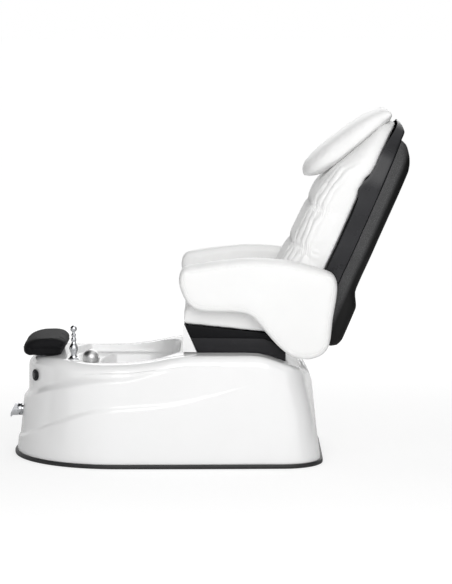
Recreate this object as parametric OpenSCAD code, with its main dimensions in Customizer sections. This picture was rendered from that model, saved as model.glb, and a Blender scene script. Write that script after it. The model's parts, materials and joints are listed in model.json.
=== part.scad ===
// Pedicure spa chair: a reclining seat unit on a moulded foot-bath tub.
// Millimetres. +Z is up, the nose of the tub points to -Y, +X is the sitter's left.
// The origin is on the floor, under the middle of the chair's length and width.

/* [Tub] */
// Distance from the origin to the nose of the tub
tub_front = 769; // [755:1:785]
// Distance from the origin to the rear wall of the tub
tub_rear = 454; // [445:1:470]
// Half of the greatest width of the tub
tub_half_w = 390; // [380:1:400]
// Half of the width of the tub at its rear corners
tub_rear_half_w = 380; // [365:1:385]
// Length of the elliptical nose in plan
nose_l = 420; // [400:1:440]
// Plan radius of the rear corners
corner_r = 150; // [130:1:165]
// Height of the flat deck that carries the seat
deck_h = 435; // [425:1:445]
// Thickness of the moulding
tub_wall = 6; // [5:0.5:8]
// Radius of the rolled rim
roll_r = 38; // [32:1:42]
// Height of the black trim round the foot
trim_h = 17; // [15:1:22]
// How far the trim stands out from the wall
trim_out = 8; // [6:0.5:10]

/* [Foot basin] */
// Distance from the nose to the front edge of the recess behind the footrest
recess_from_nose = 224; // [216:1:232]
// Half of the width of the recess
recess_half_w = 252; // [246:1:256]
// Length of the recess
recess_l = 440; // [430:1:446]
// Depth of the shelf inside the recess below the deck
shelf_drop = 67; // [61:1:73]
// Half of the width of the deep basin
basin_half_w = 240; // [230:1:242]
// Depth of the shelf at the front, from the recess edge to the basin
shelf_l = 115; // [108:1:120]
// Height of the basin floor
basin_floor = 120; // [110:1:140]
// Radius of the drain bore
drain_r = 22; // [18:0.5:26]

/* [Footrest] */
// Width of the footrest pad across the chair
footrest_w = 330; // [300:2:350]
// Length of the footrest pad along the chair
footrest_l = 158; // [150:2:164]
// Thickness of the footrest pad
footrest_t = 71; // [64:1:78]

/* [Recline] */
// Distance of the recline hinge behind the origin
hinge_y = 335; // [330:1:340]
// Height of the recline hinge above the deck
hinge_up = 5; // [3:0.5:8]
// Radius of the recline shaft
hinge_r = 8; // [7:0.5:10]
// Radial running clearance of shafts in their bores
run_gap = 0.05; // [0.03:0.01:0.1]

/* [Seat] */
// Half of the clear width between the arms
seat_half_w = 236; // [232:1:244]
// Height of the seat's crown above the deck
seat_rise = 215; // [208:1:222]
// Thickness of each arm
arm_w = 94; // [86:1:104]
// Lean of the back from upright, in degrees
back_lean = 23.5; // [22:0.5:25]
// Length of the board behind the back cushion
back_l = 590; // [580:2:600]
// Half of the width of the back shells at the shoulders
back_half_w = 262; // [254:1:268]
// Thickness of the moulded back shells
shell_wall = 5; // [4:0.5:7]
// Half of the width of the head pillow
pillow_half_w = 150; // [135:1:165]

/* [Massage] */
// Radius of the massage rollers
roller_r = 30; // [26:1:31]
// Radius of the guide rods and of the lead screw
rod_r = 6; // [5:0.5:7]

/* [Hidden] */
$fn = 48;
seat_gap = 0.3;

white = [0.93, 0.93, 0.93];
black = [0.05, 0.05, 0.055];
charcoal = [0.12, 0.12, 0.125];
speckle = [0.17, 0.17, 0.175];
chrome = [0.78, 0.79, 0.8];
steel = [0.45, 0.46, 0.48];
pipe_grey = [0.7, 0.7, 0.68];

nose_y = -tub_front;
waist_y = nose_y + nose_l;
recess_y = nose_y + recess_from_nose;
recess_end = recess_y + recess_l;
basin_y = recess_y + shelf_l;
shelf_h = deck_h - shelf_drop;
basin_end = recess_end - 27;
basin_mid = (basin_y + basin_end) / 2;

// ---------- Curves ----------

// Index of the stretch of a line of [place, value] points that holds a place
function stretch(at, line, i = 0) = i >= len(line) - 2 || at < line[i + 1][0] ? i : stretch(at, line, i + 1);
function rise(line, i) = (line[i + 1][1] - line[i][1]) / (line[i + 1][0] - line[i][0]);
function tangent(line, i) =
    i == 0 ? rise(line, 0)
    : i == len(line) - 1 ? rise(line, i - 1)
    : rise(line, i - 1) * rise(line, i) <= 0 ? 0
    : 2 * rise(line, i - 1) * rise(line, i) / (rise(line, i - 1) + rise(line, i));
// Smooth value along a line of [place, value] points, without overshoot
function along(at, line) =
    let (i = stretch(at, line), h = line[i + 1][0] - line[i][0], t = min(1, max(0, (at - line[i][0]) / h)))
    line[i][1] * (1 + 2 * t) * (1 - t) * (1 - t) + line[i + 1][1] * t * t * (3 - 2 * t)
    + h * t * (1 - t) * (tangent(line, i) * (1 - t) - tangent(line, i + 1) * t);
// Smooth closed curve through a few points, with k steps from each point to the next
function closed_curve(p, k) = [
    for (i = [0 : len(p) - 1], j = [0 : k - 1])
        let (n = len(p), a = p[(i + n - 1) % n], b = p[i], c = p[(i + 1) % n], d = p[(i + 2) % n], t = j / k)
        0.5 * (2 * b + (c - a) * t + (2 * a - 5 * b + 4 * c - d) * t * t + (3 * b - a - 3 * c + d) * t * t * t)
];
// Inward normals of a counter-clockwise outline
function inward(p) = [
    for (i = [0 : len(p) - 1])
        let (n = len(p), v = p[(i + 1) % n] - p[(i + n - 1) % n]) [-v[1], v[0]] / norm(v)
];
function inset(p, d) = let (q = inward(p)) [for (i = [0 : len(p) - 1]) p[i] + d * q[i]];
function flip(p) = [for (i = [len(p) - 1 : -1 : 0]) p[i]];
function at_height(p, z) = [for (q = p) [q[0], q[1], z]];
function mix(p, q, t) = p + (q - p) * t;

// ---------- Solids through rings of points ----------

function ring_faces(m, n, loop = false) = [
    for (i = [0 : m - (loop ? 1 : 2)], j = [0 : n - 1])
        let (k = (j + 1) % n, up = ((i + 1) % m) * n, a = i * n + j, b = i * n + k, c = up + j, d = up + k)
        each [[a, c, d], [a, d, b]]
];
// Closed solid through rings, with its two ends fanned to a point each
module loft(rings, first, last) {
    m = len(rings);
    n = len(rings[0]);
    polyhedron(
        concat([for (r = rings) each r], [first, last]),
        concat(
            ring_faces(m, n),
            [for (j = [0 : n - 1]) [m * n, j, (j + 1) % n]],
            [for (j = [0 : n - 1]) [m * n + 1, (m - 1) * n + (j + 1) % n, (m - 1) * n + j]]
        )
    );
}
// Closed band: the last ring joins the first
module band(rings) {
    polyhedron([for (r = rings) each r], ring_faces(len(rings), len(rings[0]), true));
}
function centre(ring) = let (n = len(ring)) [for (k = [0 : 2]) [for (q = ring) q[k]] * [for (q = ring) 1 / n]];
module loft_capped(rings) loft(rings, centre(rings[0]), centre(rings[len(rings) - 1]));

// Extrudes an outline drawn in [Y, Z] across the chair, from x0 to x1
module across(x0, x1) translate([x0, 0, 0]) rotate([90, 0, 90]) linear_extrude(x1 - x0) children();
module both_sides() {
    children();
    mirror([1, 0, 0]) children();
}
module slab(x0, x1, y0, y1, z0, z1) translate([x0, y0, z0]) cube([x1 - x0, y1 - y0, z1 - z0]);
// Cylinder along X, from x0 to x1, centred on [y, z]
module bar_x(x0, x1, c, r) translate([x0, c[0], c[1]]) rotate([0, 90, 0]) cylinder(r = r, h = x1 - x0);
// Cylinder along Y, from y0 to y1, centred on [x, z]
module bar_y(y0, y1, c, r) translate([c[0], y1, c[1]]) rotate([90, 0, 0]) cylinder(r = r, h = y1 - y0);

// ---------- Tub ----------

// Plan outline, counter-clockwise from its front: elliptical nose, sides, rear corners, rear edge
function plan(w, front, waist, wr, rear, r) =
    let (half = concat(
        [for (a = [0 : 9 : 81]) [w * sin(a), waist - (waist - front) * cos(a)]],
        [for (k = [0 : 7]) [w - (w - wr) * (k / 8) * (k / 8), waist + (rear - r - waist) * k / 8]],
        [for (a = [0 : 15 : 90]) [wr - r + r * cos(a), rear - r + r * sin(a)]],
        [for (k = [1 : 3]) [(wr - r) * (1 - k / 3), rear]]
    ))
    concat(half, [for (i = [len(half) - 2 : -1 : 1]) [-half[i][0], half[i][1]]]);
tub_plan = plan(tub_half_w, nose_y, waist_y, tub_rear_half_w, tub_rear, corner_r);
tub_in = inward(tub_plan);
recess_top = plan(recess_half_w, recess_y, recess_y + 75, recess_half_w, recess_end, 115);
recess_foot = plan(recess_half_w - 6, recess_y + 7, recess_y + 78, recess_half_w - 6, recess_end - 14, 112);
function basin_plan(d) =
    plan(basin_half_w - d, basin_y + d, basin_y + 60, basin_half_w - d, basin_end - d, 110 - d);
// How far the upright part of the basin wall stands in from the basin's edge
basin_in = 31;
basin_wall_x = basin_half_w - basin_in;

// Height of the rim and deck along the tub
top_line = [[nose_y, deck_h - 64], [nose_y + 60, deck_h - 46], [nose_y + 100, deck_h - 36],
    [nose_y + 140, deck_h - 28], [recess_y - 23, deck_h - 24], [recess_y + 43, deck_h - 33],
    [recess_y + 135, deck_h - 37], [recess_y + 221, deck_h - 35], [recess_y + 314, deck_h - 26],
    [recess_end - 5, deck_h - 4], [recess_end + 45, deck_h], [tub_rear - 254, deck_h],
    [tub_rear - 223, deck_h - 7], [tub_rear - 161, deck_h - 30], [tub_rear - 114, deck_h - 52],
    [tub_rear - 82, deck_h - 83], [tub_rear - 60, deck_h - 127], [tub_rear - 50, deck_h - 160]];
// Heights of the two ridges that run up the wall from the nose
upper_ridge = [[nose_y, deck_h - 203], [nose_y + 129, deck_h - 147], [nose_y + 333, deck_h - 105],
    [nose_y + 456, deck_h - 97], [nose_y + 563, deck_h - 73], [-60, deck_h - 51],
    [tub_rear - 254, deck_h - 60], [tub_rear - 154, deck_h - 115], [tub_rear, deck_h - 215]];
lower_ridge = [[nose_y, 66], [nose_y + 72, 113], [nose_y + 163, 157], [nose_y + 333, 213],
    [nose_y + 620, 241], [tub_rear - 437, 280], [tub_rear - 236, 325], [tub_rear - 154, 280], [tub_rear, 160]];
// How deep each ridge steps in, and how far the wall leans in over its height
upper_step = [[nose_y, 20], [waist_y, 14], [nose_y + 649, 0], [tub_rear, 0]];
lower_step = [[nose_y, 7], [waist_y, 8], [tub_rear - 236, 0], [tub_rear, 0]];
wall_lean = [[nose_y, 24], [waist_y, 38], [tub_rear - 154, 42], [tub_rear, 40]];
// Height at which the wall stops leaning
lean_top = [[nose_y, 240], [waist_y, 400], [tub_rear, 400]];

// How far the rear corners are drawn in at the top, to round them off
corner_soft = 74;
function corner_in(i, z) =
    let (near = min(1, max(0, (tub_plan[i][1] - tub_rear) / 204 + 1)), high = min(1, z / 400))
    corner_soft * near * high * high * abs(tub_plan[i][0]) / tub_half_w;

function top_at(y) = along(y, top_line);
function lean_at(y, z) = along(y, wall_lean) * min(1, z / along(y, lean_top));
function full_inset(y) = lean_at(y, top_at(y)) + along(y, upper_step) + along(y, lower_step);
// Plan point i moved in by d
function wall_point(i, d) = tub_plan[i] + d * tub_in[i];
function shoulder(i) =
    top_at(wall_point(i, full_inset(tub_plan[i][1]) + corner_in(i, 400) + roll_r)[1]) - roll_r;
// Height of level k of the wall at plan point i: foot, lower ridge, upper ridge, shoulder
function level_z(k, i) =
    let (y = tub_plan[i][1], a = along(y, lower_step) / 8, b = along(y, upper_step) / 20,
        low = along(y, lower_ridge), high = along(y, upper_ridge))
    [trim_h, low, low + 4 + 12 * a, (low + high) / 2 + 6, high, high + 4 + 8 * b, high + 8 + 24 * b,
        shoulder(i)][k];
function level_step(k, y) =
    along(y, lower_step) * [0, 0, 1, 1, 1, 1, 1, 1][k] + along(y, upper_step) * [0, 0, 0, 0, 0, 0.35, 1, 1][k];
function wall_ring(k, add = 0) = [
    for (i = [0 : len(tub_plan) - 1])
        let (y = tub_plan[i][1], z = level_z(k, i),
            q = wall_point(i, lean_at(y, z) + corner_in(i, z) + level_step(k, y) + add))
        [q[0], q[1], z]
];
// Ring on the rolled rim, a degrees up from the shoulder
function roll_ring(a, skin = 0) = [
    for (i = [0 : len(tub_plan) - 1])
        let (y = tub_plan[i][1], r = roll_r - skin, z = shoulder(i),
            q = wall_point(i, lean_at(y, z) + corner_in(i, z) + level_step(7, y) + skin + r * (1 - cos(a))))
        [q[0], q[1], z + r * sin(a)]
];
// Ring on the deck, a share t of the way from the rim to the recess
function deck_ring(t, skin = 0, grow = 0) =
    let (rim = roll_ring(90, skin), edge = inset(recess_top, -grow))
    [for (i = [0 : len(rim) - 1])
        let (q = mix([rim[i][0], rim[i][1]], edge[i], t)) [q[0], q[1], top_at(q[1]) - skin]];

module tub_shell() {
    w = tub_wall;
    lip = shelf_h - 3;
    rings = concat(
        [at_height(inset(basin_plan(54), -w), basin_floor - w),
            at_height(inset(basin_plan(basin_in), -w), basin_floor + 36),
            at_height(inset(basin_plan(basin_in), -w), lip - 106),
            at_height(inset(basin_plan(14), -w), lip - 62),
            at_height(inset(basin_plan(-2), -w), lip - w),
            at_height(inset(recess_foot, -w), shelf_h - w), deck_ring(1, w, w)],
        [for (t = [0.9, 0.7, 0.37, 0.22]) deck_ring(t, w, w)],
        [roll_ring(90, w), roll_ring(45, w)],
        [for (k = [7, 6, 4, 2, 0]) wall_ring(k, w)],
        [for (k = [0 : 7]) wall_ring(k)],
        [for (a = [30, 60, 90]) roll_ring(a)],
        [for (t = [0.1, 0.22, 0.37, 0.7, 0.9, 1]) deck_ring(t)],
        [at_height(recess_foot, shelf_h), at_height(basin_plan(-2), lip), at_height(basin_plan(4), lip - 14),
            at_height(basin_plan(16), lip - 64), at_height(basin_plan(basin_in), lip - 106),
            at_height(basin_plan(basin_in), basin_floor + 40), at_height(basin_plan(37), basin_floor + 14),
            at_height(basin_plan(54), basin_floor)]
    );
    color(white) difference() {
        union() {
            loft(rings, [0, basin_mid, basin_floor - w], [0, basin_mid, basin_floor]);
            translate([shower_x, shower_y, shower_seat - 10]) cylinder(r = shower_flange_r + 2, h = 10);
            bar_y(mixer_seat, mixer_y + 4, [0, mixer_z], mixer_r + 2);
        }
        translate([0, basin_mid, basin_floor - 20]) cylinder(r = drain_r, h = 40);
        for (y = jet_y) bar_x(-basin_wall_x - 20, basin_wall_x + 20, [y, jet_z], jet_r);
        slab(-deck_slot_x, deck_slot_x, deck_slot_y[0], deck_slot_y[1], deck_h - 20, deck_h + 5);
        translate(button_at) button_axis() cylinder(r = button_r - 3, h = 80, center = true);
        bar_y(nose_y, nose_y + 80, [0, mixer_z], mixer_r - 6);
        translate([shower_x, shower_y, shower_seat - 25]) cylinder(r = shower_neck_r + 3, h = 40);
        translate([0, spout_y, shelf_h - 20]) cylinder(r = spout_pipe_r + 0.3, h = 30);
    }
}

module base_trim() {
    // How far each edge of the strip is drawn in from the wall, and its height
    edges = [[14, 0], [3 - trim_out, 0], [-trim_out, 4], [-trim_out, trim_h - 5], [4 - trim_out, trim_h],
        [14, trim_h]];
    color(black) band([for (e = edges) at_height(inset(tub_plan, e[0]), e[1])]);
}

// ---------- Frame inside the tub ----------

seat_rail_x = seat_half_w - 36;
// Half of the width of the deck plate, and of the frame under it
deck_plate_x = seat_rail_x - 10;
rail_w = 40;
rail_x = deck_plate_x - rail_w / 2;
foot_h = 15;
frame_front = -45;
frame_rear = 390;
post_w = 30;
post_y = [frame_front, 152];
post_top = deck_h - tub_wall - seat_gap;

module base_frame() {
    color(steel) {
        both_sides() {
            slab(rail_x - rail_w / 2, rail_x + rail_w / 2, frame_front, frame_rear, foot_h, foot_h + 30);
            for (y = post_y)
                slab(rail_x - post_w / 2, rail_x + post_w / 2, y, y + post_w, foot_h + 30, post_top - 30);
            slab(rail_x - post_w / 2, rail_x + post_w / 2, post_y[0], post_y[1] + post_w,
                post_top - 31, post_top);
        }
        for (y = [frame_front, actuator_foot[0] - 20, pump_y + 10, frame_rear - 40])
            slab(-rail_x + rail_w / 2, rail_x - rail_w / 2, y, y + 40, foot_h, foot_h + 30);
    }
}

module levelling_feet() {
    color(black) both_sides() for (y = [frame_front + 20, 170, frame_rear - 20]) translate([rail_x, y, 0]) {
        cylinder(r = 22, h = 8);
        cylinder(r = 7, h = foot_h);
    }
}

// ---------- Recline hinge and seat base ----------

plate_t = 6;
plate_top = deck_h + plate_t;
plate_end = tub_rear - 254;
hinge_z = deck_h + hinge_up;
seat_h = deck_h + seat_rise;
seat_rail_w = 25;
rail_z = [deck_h + 41, deck_h + 62];
deck_slot_x = 38;
deck_slot_y = [-8, 112];
ear_x = deck_plate_x - 40;
ear_t = 8;
eye_r = 18;
lug_x = ear_x + ear_t + seat_gap;

module deck_plate() {
    color(steel) difference() {
        slab(-deck_plate_x, deck_plate_x, -15, plate_end, deck_h, plate_top);
        slab(-deck_slot_x, deck_slot_x, deck_slot_y[0], deck_slot_y[1], deck_h - 5, plate_top + 5);
    }
}

module hinge_brackets() {
    color(steel) both_sides() difference() {
        across(ear_x, ear_x + ear_t) union() {
            polygon([[plate_end - 70, plate_top], [plate_end, plate_top], [plate_end + 40, hinge_z - 9],
                [hinge_y - 5, hinge_z - eye_r + 1], [hinge_y + 4, hinge_z + eye_r - 1],
                [plate_end - 10, plate_top + 28]]);
            translate([hinge_y, hinge_z]) circle(r = eye_r);
        }
        bar_x(ear_x - 1, ear_x + ear_t + 1, [hinge_y, hinge_z], hinge_r + run_gap);
    }
}

module hinge_shaft() {
    end = lug_x + ear_t + seat_gap;
    color(steel) {
        bar_x(-end, end, [hinge_y, hinge_z], hinge_r);
        both_sides() bar_x(end, end + 5, [hinge_y, hinge_z], hinge_r + 4);
    }
}

cover_half_w = seat_half_w - 10;
cover_wall = 4;
cover_top = deck_h + 59;
band_gap = 1.5;

module base_cover() {
    side = [[-34, deck_h + seat_gap], [-63, cover_top], [227, cover_top - 3], [298, cover_top - 34],
        [313, hinge_z], [313, deck_h - 35], [262, deck_h - 15], [plate_end, deck_h + seat_gap]];
    bay = [[-26, deck_h - 30], [-65, cover_top + 10], [400, cover_top + 10], [400, deck_h - 60]];
    color(charcoal) difference() {
        across(-cover_half_w, cover_half_w) polygon(side);
        across(-cover_half_w + cover_wall, cover_half_w - cover_wall) polygon(bay);
    }
}

// ---------- Recline actuator ----------

actuator_foot = [100, 120];
actuator_head = [30, rail_z[0] - 2];
actuator_dir = actuator_head - actuator_foot;
actuator_l = norm(actuator_dir);
actuator_tilt = atan2(-actuator_dir[0], actuator_dir[1]);
actuator_r = 25;
rod_clear = 0.4;
pin_r = 6;
clevis_gap = 15;

module actuator_frame()
    translate([0, actuator_foot[0], actuator_foot[1]]) rotate([actuator_tilt, 0, 0]) children();

module actuator_bracket() {
    color(steel) {
        both_sides() difference() {
            across(clevis_gap + seat_gap, clevis_gap + 6) union() {
                polygon([[actuator_foot[0] - 20, foot_h + 30], [actuator_foot[0] + 20, foot_h + 30],
                    [actuator_foot[0] + 13, actuator_foot[1]], [actuator_foot[0] - 13, actuator_foot[1]]]);
                translate(actuator_foot) circle(r = 14);
            }
            bar_x(0, 40, actuator_foot, pin_r - 0.5);
        }
        bar_x(-clevis_gap - 9, clevis_gap + 9, actuator_foot, pin_r);
    }
}

module actuator_body() {
    color(black) actuator_frame() difference() {
        union() {
            bar_x(-clevis_gap, clevis_gap, [0, 0], 14);
            slab(-clevis_gap, clevis_gap, -12, 12, 0, 20);
            translate([0, 0, 16]) cylinder(r = actuator_r, h = 229);
            translate([0, 38, 30]) cylinder(r = 22, h = 90);
            slab(-18, 18, 0, 38, 30, 60);
        }
        bar_x(-40, 40, [0, 0], pin_r + run_gap);
        translate([0, 0, 45]) cylinder(r = 11 + rod_clear, h = 220);
    }
}

module actuator_rod() {
    color(chrome) actuator_frame() difference() {
        union() {
            translate([0, 0, 90]) cylinder(r = 11, h = actuator_l - 90);
            bar_x(-clevis_gap + 3, clevis_gap - 3, [0, actuator_l], 14);
        }
        bar_x(-40, 40, [0, actuator_l], pin_r + 1.2);
    }
}

// ---------- Footrest ----------

footrest_mid = nose_y + 117;
footrest_foot = deck_h - 23.3;
peg_r = 9;

module footrest_bracket() {
    color(steel) {
        slab(-footrest_w / 2 + 45, footrest_w / 2 - 45, footrest_mid - 32, footrest_mid + 16,
            footrest_foot - 3, footrest_foot);
        both_sides() for (y = [footrest_mid - 22, footrest_mid + 6])
            let (foot = top_at(y + peg_r) + seat_gap)
                translate([footrest_w / 2 - 100, y, foot]) cylinder(r = peg_r, h = footrest_foot - 2 - foot);
    }
}

// Rounded oblong outline drawn in by d, between a front and a rear edge
function pad_plan(w, front, rear, d) = [
    for (a = [-90 : 10 : 260])
        let (c = cos(a), s = sin(a), e = 0.48, half = (rear - front) / 2 - d)
        [(w / 2 - d) * sign(c) * pow(abs(c), e), (front + rear) / 2 + half * sign(s) * pow(abs(s), e)]
];

// Bolster on a narrower base: the front rolls down over the nose, the rear overhangs
module footrest_pad() {
    base = footrest_foot + seat_gap;
    front = footrest_mid - footrest_l / 2;
    rear = footrest_mid + footrest_l / 2;
    h = footrest_t;
    // Share of the height, move of the front edge, move of the rear edge, draw-in
    levels = [[0, 8, -3, 5], [0.06, 0, 0, 2], [0.17, -5, 1, 0], [0.36, -5, 2, 0], [0.41, -4, 3, 1],
        [0.46, -4, 14, 0], [0.58, -1, 17, 0], [0.74, 9, 16, 2], [0.88, 27, 10, 4], [0.96, 48, 0, 9],
        [1, 78, -24, 22]];
    rings = [for (l = levels)
        at_height(pad_plan(footrest_w, front + l[1], rear + l[2], l[3]), base + h * l[0])];
    color(black) loft(rings, [0, footrest_mid, base], [0, footrest_mid + 12, base + h]);
}

// ---------- Water fittings ----------

spout_r = 34;
spout_y = basin_y - 38;
spout_pipe_r = 9;
shower_x = 215;
shower_y = recess_y + 21;
shower_neck_r = 8;
shower_flange_r = 21;
// Level pad that the hand shower's socket stands on
shower_seat = top_at(shower_y - shower_flange_r);
button_r = 23;
button_z = 335;
button_a = 27;
button_normal = [sin(button_a) / tub_half_w, -cos(button_a) / nose_l];
button_out = button_normal / norm(button_normal);
button_turn = atan2(button_out[0], -button_out[1]);
button_in = lean_at(nose_y, button_z) + upper_step[0][1] + lower_step[0][1];
button_at = [tub_half_w * sin(button_a) - button_in * button_out[0],
    waist_y - nose_l * cos(button_a) - button_in * button_out[1], button_z];
mixer_z = 172;
mixer_r = 25;
mixer_y = nose_y + lean_at(nose_y, mixer_z) + lower_step[0][1];
// Flat pad on the leaning wall that the mixer's flange stands on
mixer_seat = mixer_y - 3;
jet_r = 12;
jet_z = 215;
jet_y = [basin_y + 99, basin_end - 137];

module button_axis() rotate([0, 0, button_turn]) rotate([90, 0, 0]) children();

module spout() {
    color(chrome) translate([0, spout_y, shelf_h]) difference() {
        union() {
            rotate_extrude() difference() {
                union() {
                    translate([0, 14]) circle(r = spout_r);
                    square([spout_r, 14]);
                }
                translate([-50, -50]) square([50, 120]);
                translate([0, -50]) square([60, 50]);
            }
            translate([0, 0, -30]) cylinder(r = spout_pipe_r, h = 40);
        }
        slab(-15, 15, 6, 40, 16, 24);
    }
}

module shower_socket() {
    color(chrome) translate([shower_x, shower_y, shower_seat + seat_gap]) difference() {
        union() {
            rotate_extrude()
                polygon([[0, 0], [shower_flange_r, 0], [shower_flange_r, 3], [15, 7], [13, 14], [0, 14]]);
            translate([0, 0, -36]) cylinder(r = shower_neck_r + 2.5, h = 40);
        }
        translate([0, 0, -50]) cylinder(r = shower_neck_r + 0.1, h = 80);
    }
}

module hand_shower() {
    color(chrome) translate([shower_x, shower_y, shower_seat + seat_gap + 14]) {
        rotate_extrude() polygon(concat([[0, -44], [shower_neck_r, -44], [shower_neck_r, seat_gap],
            [11.5, seat_gap], [11, 7], [14, 15], [17.5, 24], [17.5, 32], [14, 41], [9.5, 48], [8, 54],
            [10.5, 59], [10.5, 66], [8, 70], [7.5, 76], [9.5, 80], [9.5, 84], [6, 88], [6, 95]],
            [for (a = [-55 : 15 : 80]) [13.5 * cos(a), 106.5 + 13.5 * sin(a)]], [[0, 120]]));
    }
}

module button_bezel() {
    color(black) translate(button_at) button_axis() difference() {
        union() {
            translate([0, 0, 1]) cylinder(r = button_r, h = 6);
            translate([0, 0, -24]) cylinder(r = button_r - 3.3, h = 26);
        }
        translate([0, 0, -12]) cylinder(r = button_r - 9, h = 30);
    }
}

module air_button() {
    color(black) translate(button_at) button_axis() {
        translate([0, 0, -6]) cylinder(r = button_r - 9.5, h = 16);
    }
}

module mixer_body() {
    color(chrome) {
        bar_y(mixer_y - 7, mixer_seat - seat_gap, [0, mixer_z], mixer_r);
        bar_y(mixer_seat - 1, mixer_y + 46, [0, mixer_z], mixer_r - 6.5);
        bar_y(mixer_y - 9, mixer_y - 7, [0, mixer_z], 14);
    }
}

cap_y = mixer_y - 19;
lever_pin = [mixer_y - 28, mixer_z + 12];
lever_tip = [mixer_y - 50.8, mixer_z - 29];

// Disc that turns on the body to set the temperature, with the lug of the lever
module mixer_cap() {
    color(chrome) difference() {
        union() {
            bar_y(cap_y, mixer_y - 7 - seat_gap, [0, mixer_z], mixer_r);
            across(-5, 5) polygon([[cap_y + 2, mixer_z - 2], [cap_y + 2, mixer_z + 20],
                lever_pin + [0, 6], lever_pin - [6, 0], lever_pin - [0, 6]]);
        }
        bar_y(mixer_y - 11, mixer_y - 5, [0, mixer_z], 14 + run_gap);
        bar_x(-30, 30, lever_pin, 3 + run_gap);
    }
}

// Wedge that tips up on its pin to open the flow
module mixer_lever() {
    color(chrome) {
        difference() {
            across(-11, 11) polygon([lever_pin + [4.5, 9], lever_pin + [-4, 9.5], lever_tip + [1, 15],
                lever_tip, lever_tip + [3, -2], lever_tip + [10, 5], [cap_y - 2, lever_tip[1] + 5],
                [cap_y - 1.5, mixer_z - 6]]);
            slab(-5.4, 5.4, lever_pin[0] - 9, cap_y + 5, lever_pin[1] - 13, lever_pin[1] + 20);
        }
        bar_x(-11, 11, lever_pin, 3);
    }
}

module basin_jets() {
    color(chrome) both_sides() for (y = jet_y) difference() {
        union() {
            bar_x(basin_wall_x - 6, basin_wall_x - seat_gap, [y, jet_z], 26);
            bar_x(basin_wall_x - 2, basin_wall_x + 19, [y, jet_z], jet_r - seat_gap);
        }
        bar_x(basin_wall_x - 10, basin_wall_x + 30, [y, jet_z], 6);
    }
}

pipe_x = basin_wall_x + 36;
cross_y = 20;
module jet_pipes() {
    color(pipe_grey) {
        both_sides() {
            bar_y(jet_y[0] - 30, cross_y, [pipe_x, jet_z], 15);
            for (y = jet_y) bar_x(basin_wall_x + 19 + seat_gap, pipe_x, [y, jet_z], 11);
        }
        bar_x(-pipe_x, pipe_x, [cross_y, jet_z], 15);
        bar_y(cross_y, riser_y + 15, [pump_x, jet_z], 15);
        translate([pump_x, riser_y, jet_z - 26]) cylinder(r = 14, h = 26);
    }
}

module suction_cover() {
    color(chrome) translate([-80, basin_mid, basin_floor + seat_gap]) difference() {
        rotate_extrude() polygon([[0, 0], [38, 0], [38, 2], [30, 7], [0, 9]]);
        for (a = [0 : 60 : 300]) rotate([0, 0, a]) translate([18, 0, -1]) cylinder(r = 5, h = 12);
    }
}

module drain_fitting() {
    color(chrome) translate([0, basin_mid, basin_floor]) difference() {
        union() {
            translate([0, 0, seat_gap]) cylinder(r = drain_r + 14, h = 3);
            translate([0, 0, -40]) cylinder(r = drain_r - seat_gap, h = 42);
        }
        translate([0, 0, -41]) cylinder(r = drain_r - 5, h = 60);
    }
}

module drain_plug() {
    color(chrome) translate([0, basin_mid, basin_floor + 3 + 2 * seat_gap]) {
        rotate_extrude() polygon([[0, 0], [drain_r + 4, 0], [drain_r + 4, 2], [12, 6], [0, 7]]);
        translate([0, 0, -38]) cylinder(r = 5, h = 40);
    }
}

waste_r = 20;
module waste_pipe() {
    top = basin_floor - 40 - seat_gap;
    color(pipe_grey) translate([0, basin_mid, 0]) difference() {
        union() {
            translate([0, 0, 4]) cylinder(r = waste_r, h = top - 4);
            translate([0, 0, top - 24]) cylinder(r = waste_r + 6, h = 24);
        }
        translate([0, 0, -1]) cylinder(r = waste_r - 3, h = top + 2);
    }
}

inlet_r = 10.5;
inlet_x = 70;
inlet_y = frame_rear - 57;
module water_inlets() {
    color(chrome) for (x = [-inlet_x, inlet_x]) translate([x, inlet_y, 0]) {
        translate([0, 0, 4]) cylinder(r = inlet_r, h = 30);
        translate([0, 0, 34]) cylinder(r = 16, h = 12, $fn = 6);
        translate([0, 0, 46]) cylinder(r = 8, h = 21);
        difference() {
            slab(-22, 22, -16, 50, foot_h + 30, foot_h + 35);
            translate([0, 0, foot_h + 20]) cylinder(r = 7, h = 30);
        }
    }
}

// ---------- Basin pump ----------

pump_x = rail_x - 80;
pump_y = 150;
riser_y = pump_y + 25;
pump_z = 120;
volute_r = 62;
module pump_housing() {
    color(black) difference() {
        union() {
            bar_y(pump_y, pump_y + 60, [pump_x, pump_z], volute_r);
            translate([pump_x, riser_y, pump_z]) cylinder(r = 18, h = jet_z - pump_z - 26 - seat_gap);
            slab(pump_x - 60, pump_x + 60, pump_y + 5, pump_y + 55, foot_h + 30, pump_z - 40);
        }
        bar_y(pump_y + 8, pump_y + 52, [pump_x, pump_z], volute_r - 8);
        bar_y(pump_y + 40, pump_y + 70, [pump_x, pump_z], 8 + run_gap);
        bar_y(pump_y - 10, pump_y + 20, [pump_x, pump_z], 16);
    }
}

module pump_impeller() {
    color(pipe_grey) {
        bar_y(pump_y + 36, pump_y + 44, [pump_x, pump_z], 44);
        bar_y(pump_y + 20, pump_y + 36, [pump_x, pump_z], 12);
        for (a = [0 : 60 : 300])
            translate([pump_x, pump_y + 24, pump_z]) rotate([0, a, 0])
                translate([10, 0, -2]) cube([32, 12.5, 4]);
        bar_y(pump_y + 44, pump_y + 84, [pump_x, pump_z], 8);
    }
}

module pump_motor() {
    color(steel) difference() {
        union() {
            bar_y(pump_y + 60 + seat_gap, pump_y + 200, [pump_x, pump_z], 52);
            slab(pump_x - 40, pump_x + 40, pump_y + 90, pump_y + 165, foot_h + 30, pump_z - 30);
        }
        bar_y(pump_y + 50, pump_y + 90, [pump_x, pump_z], 9);
    }
}

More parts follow.
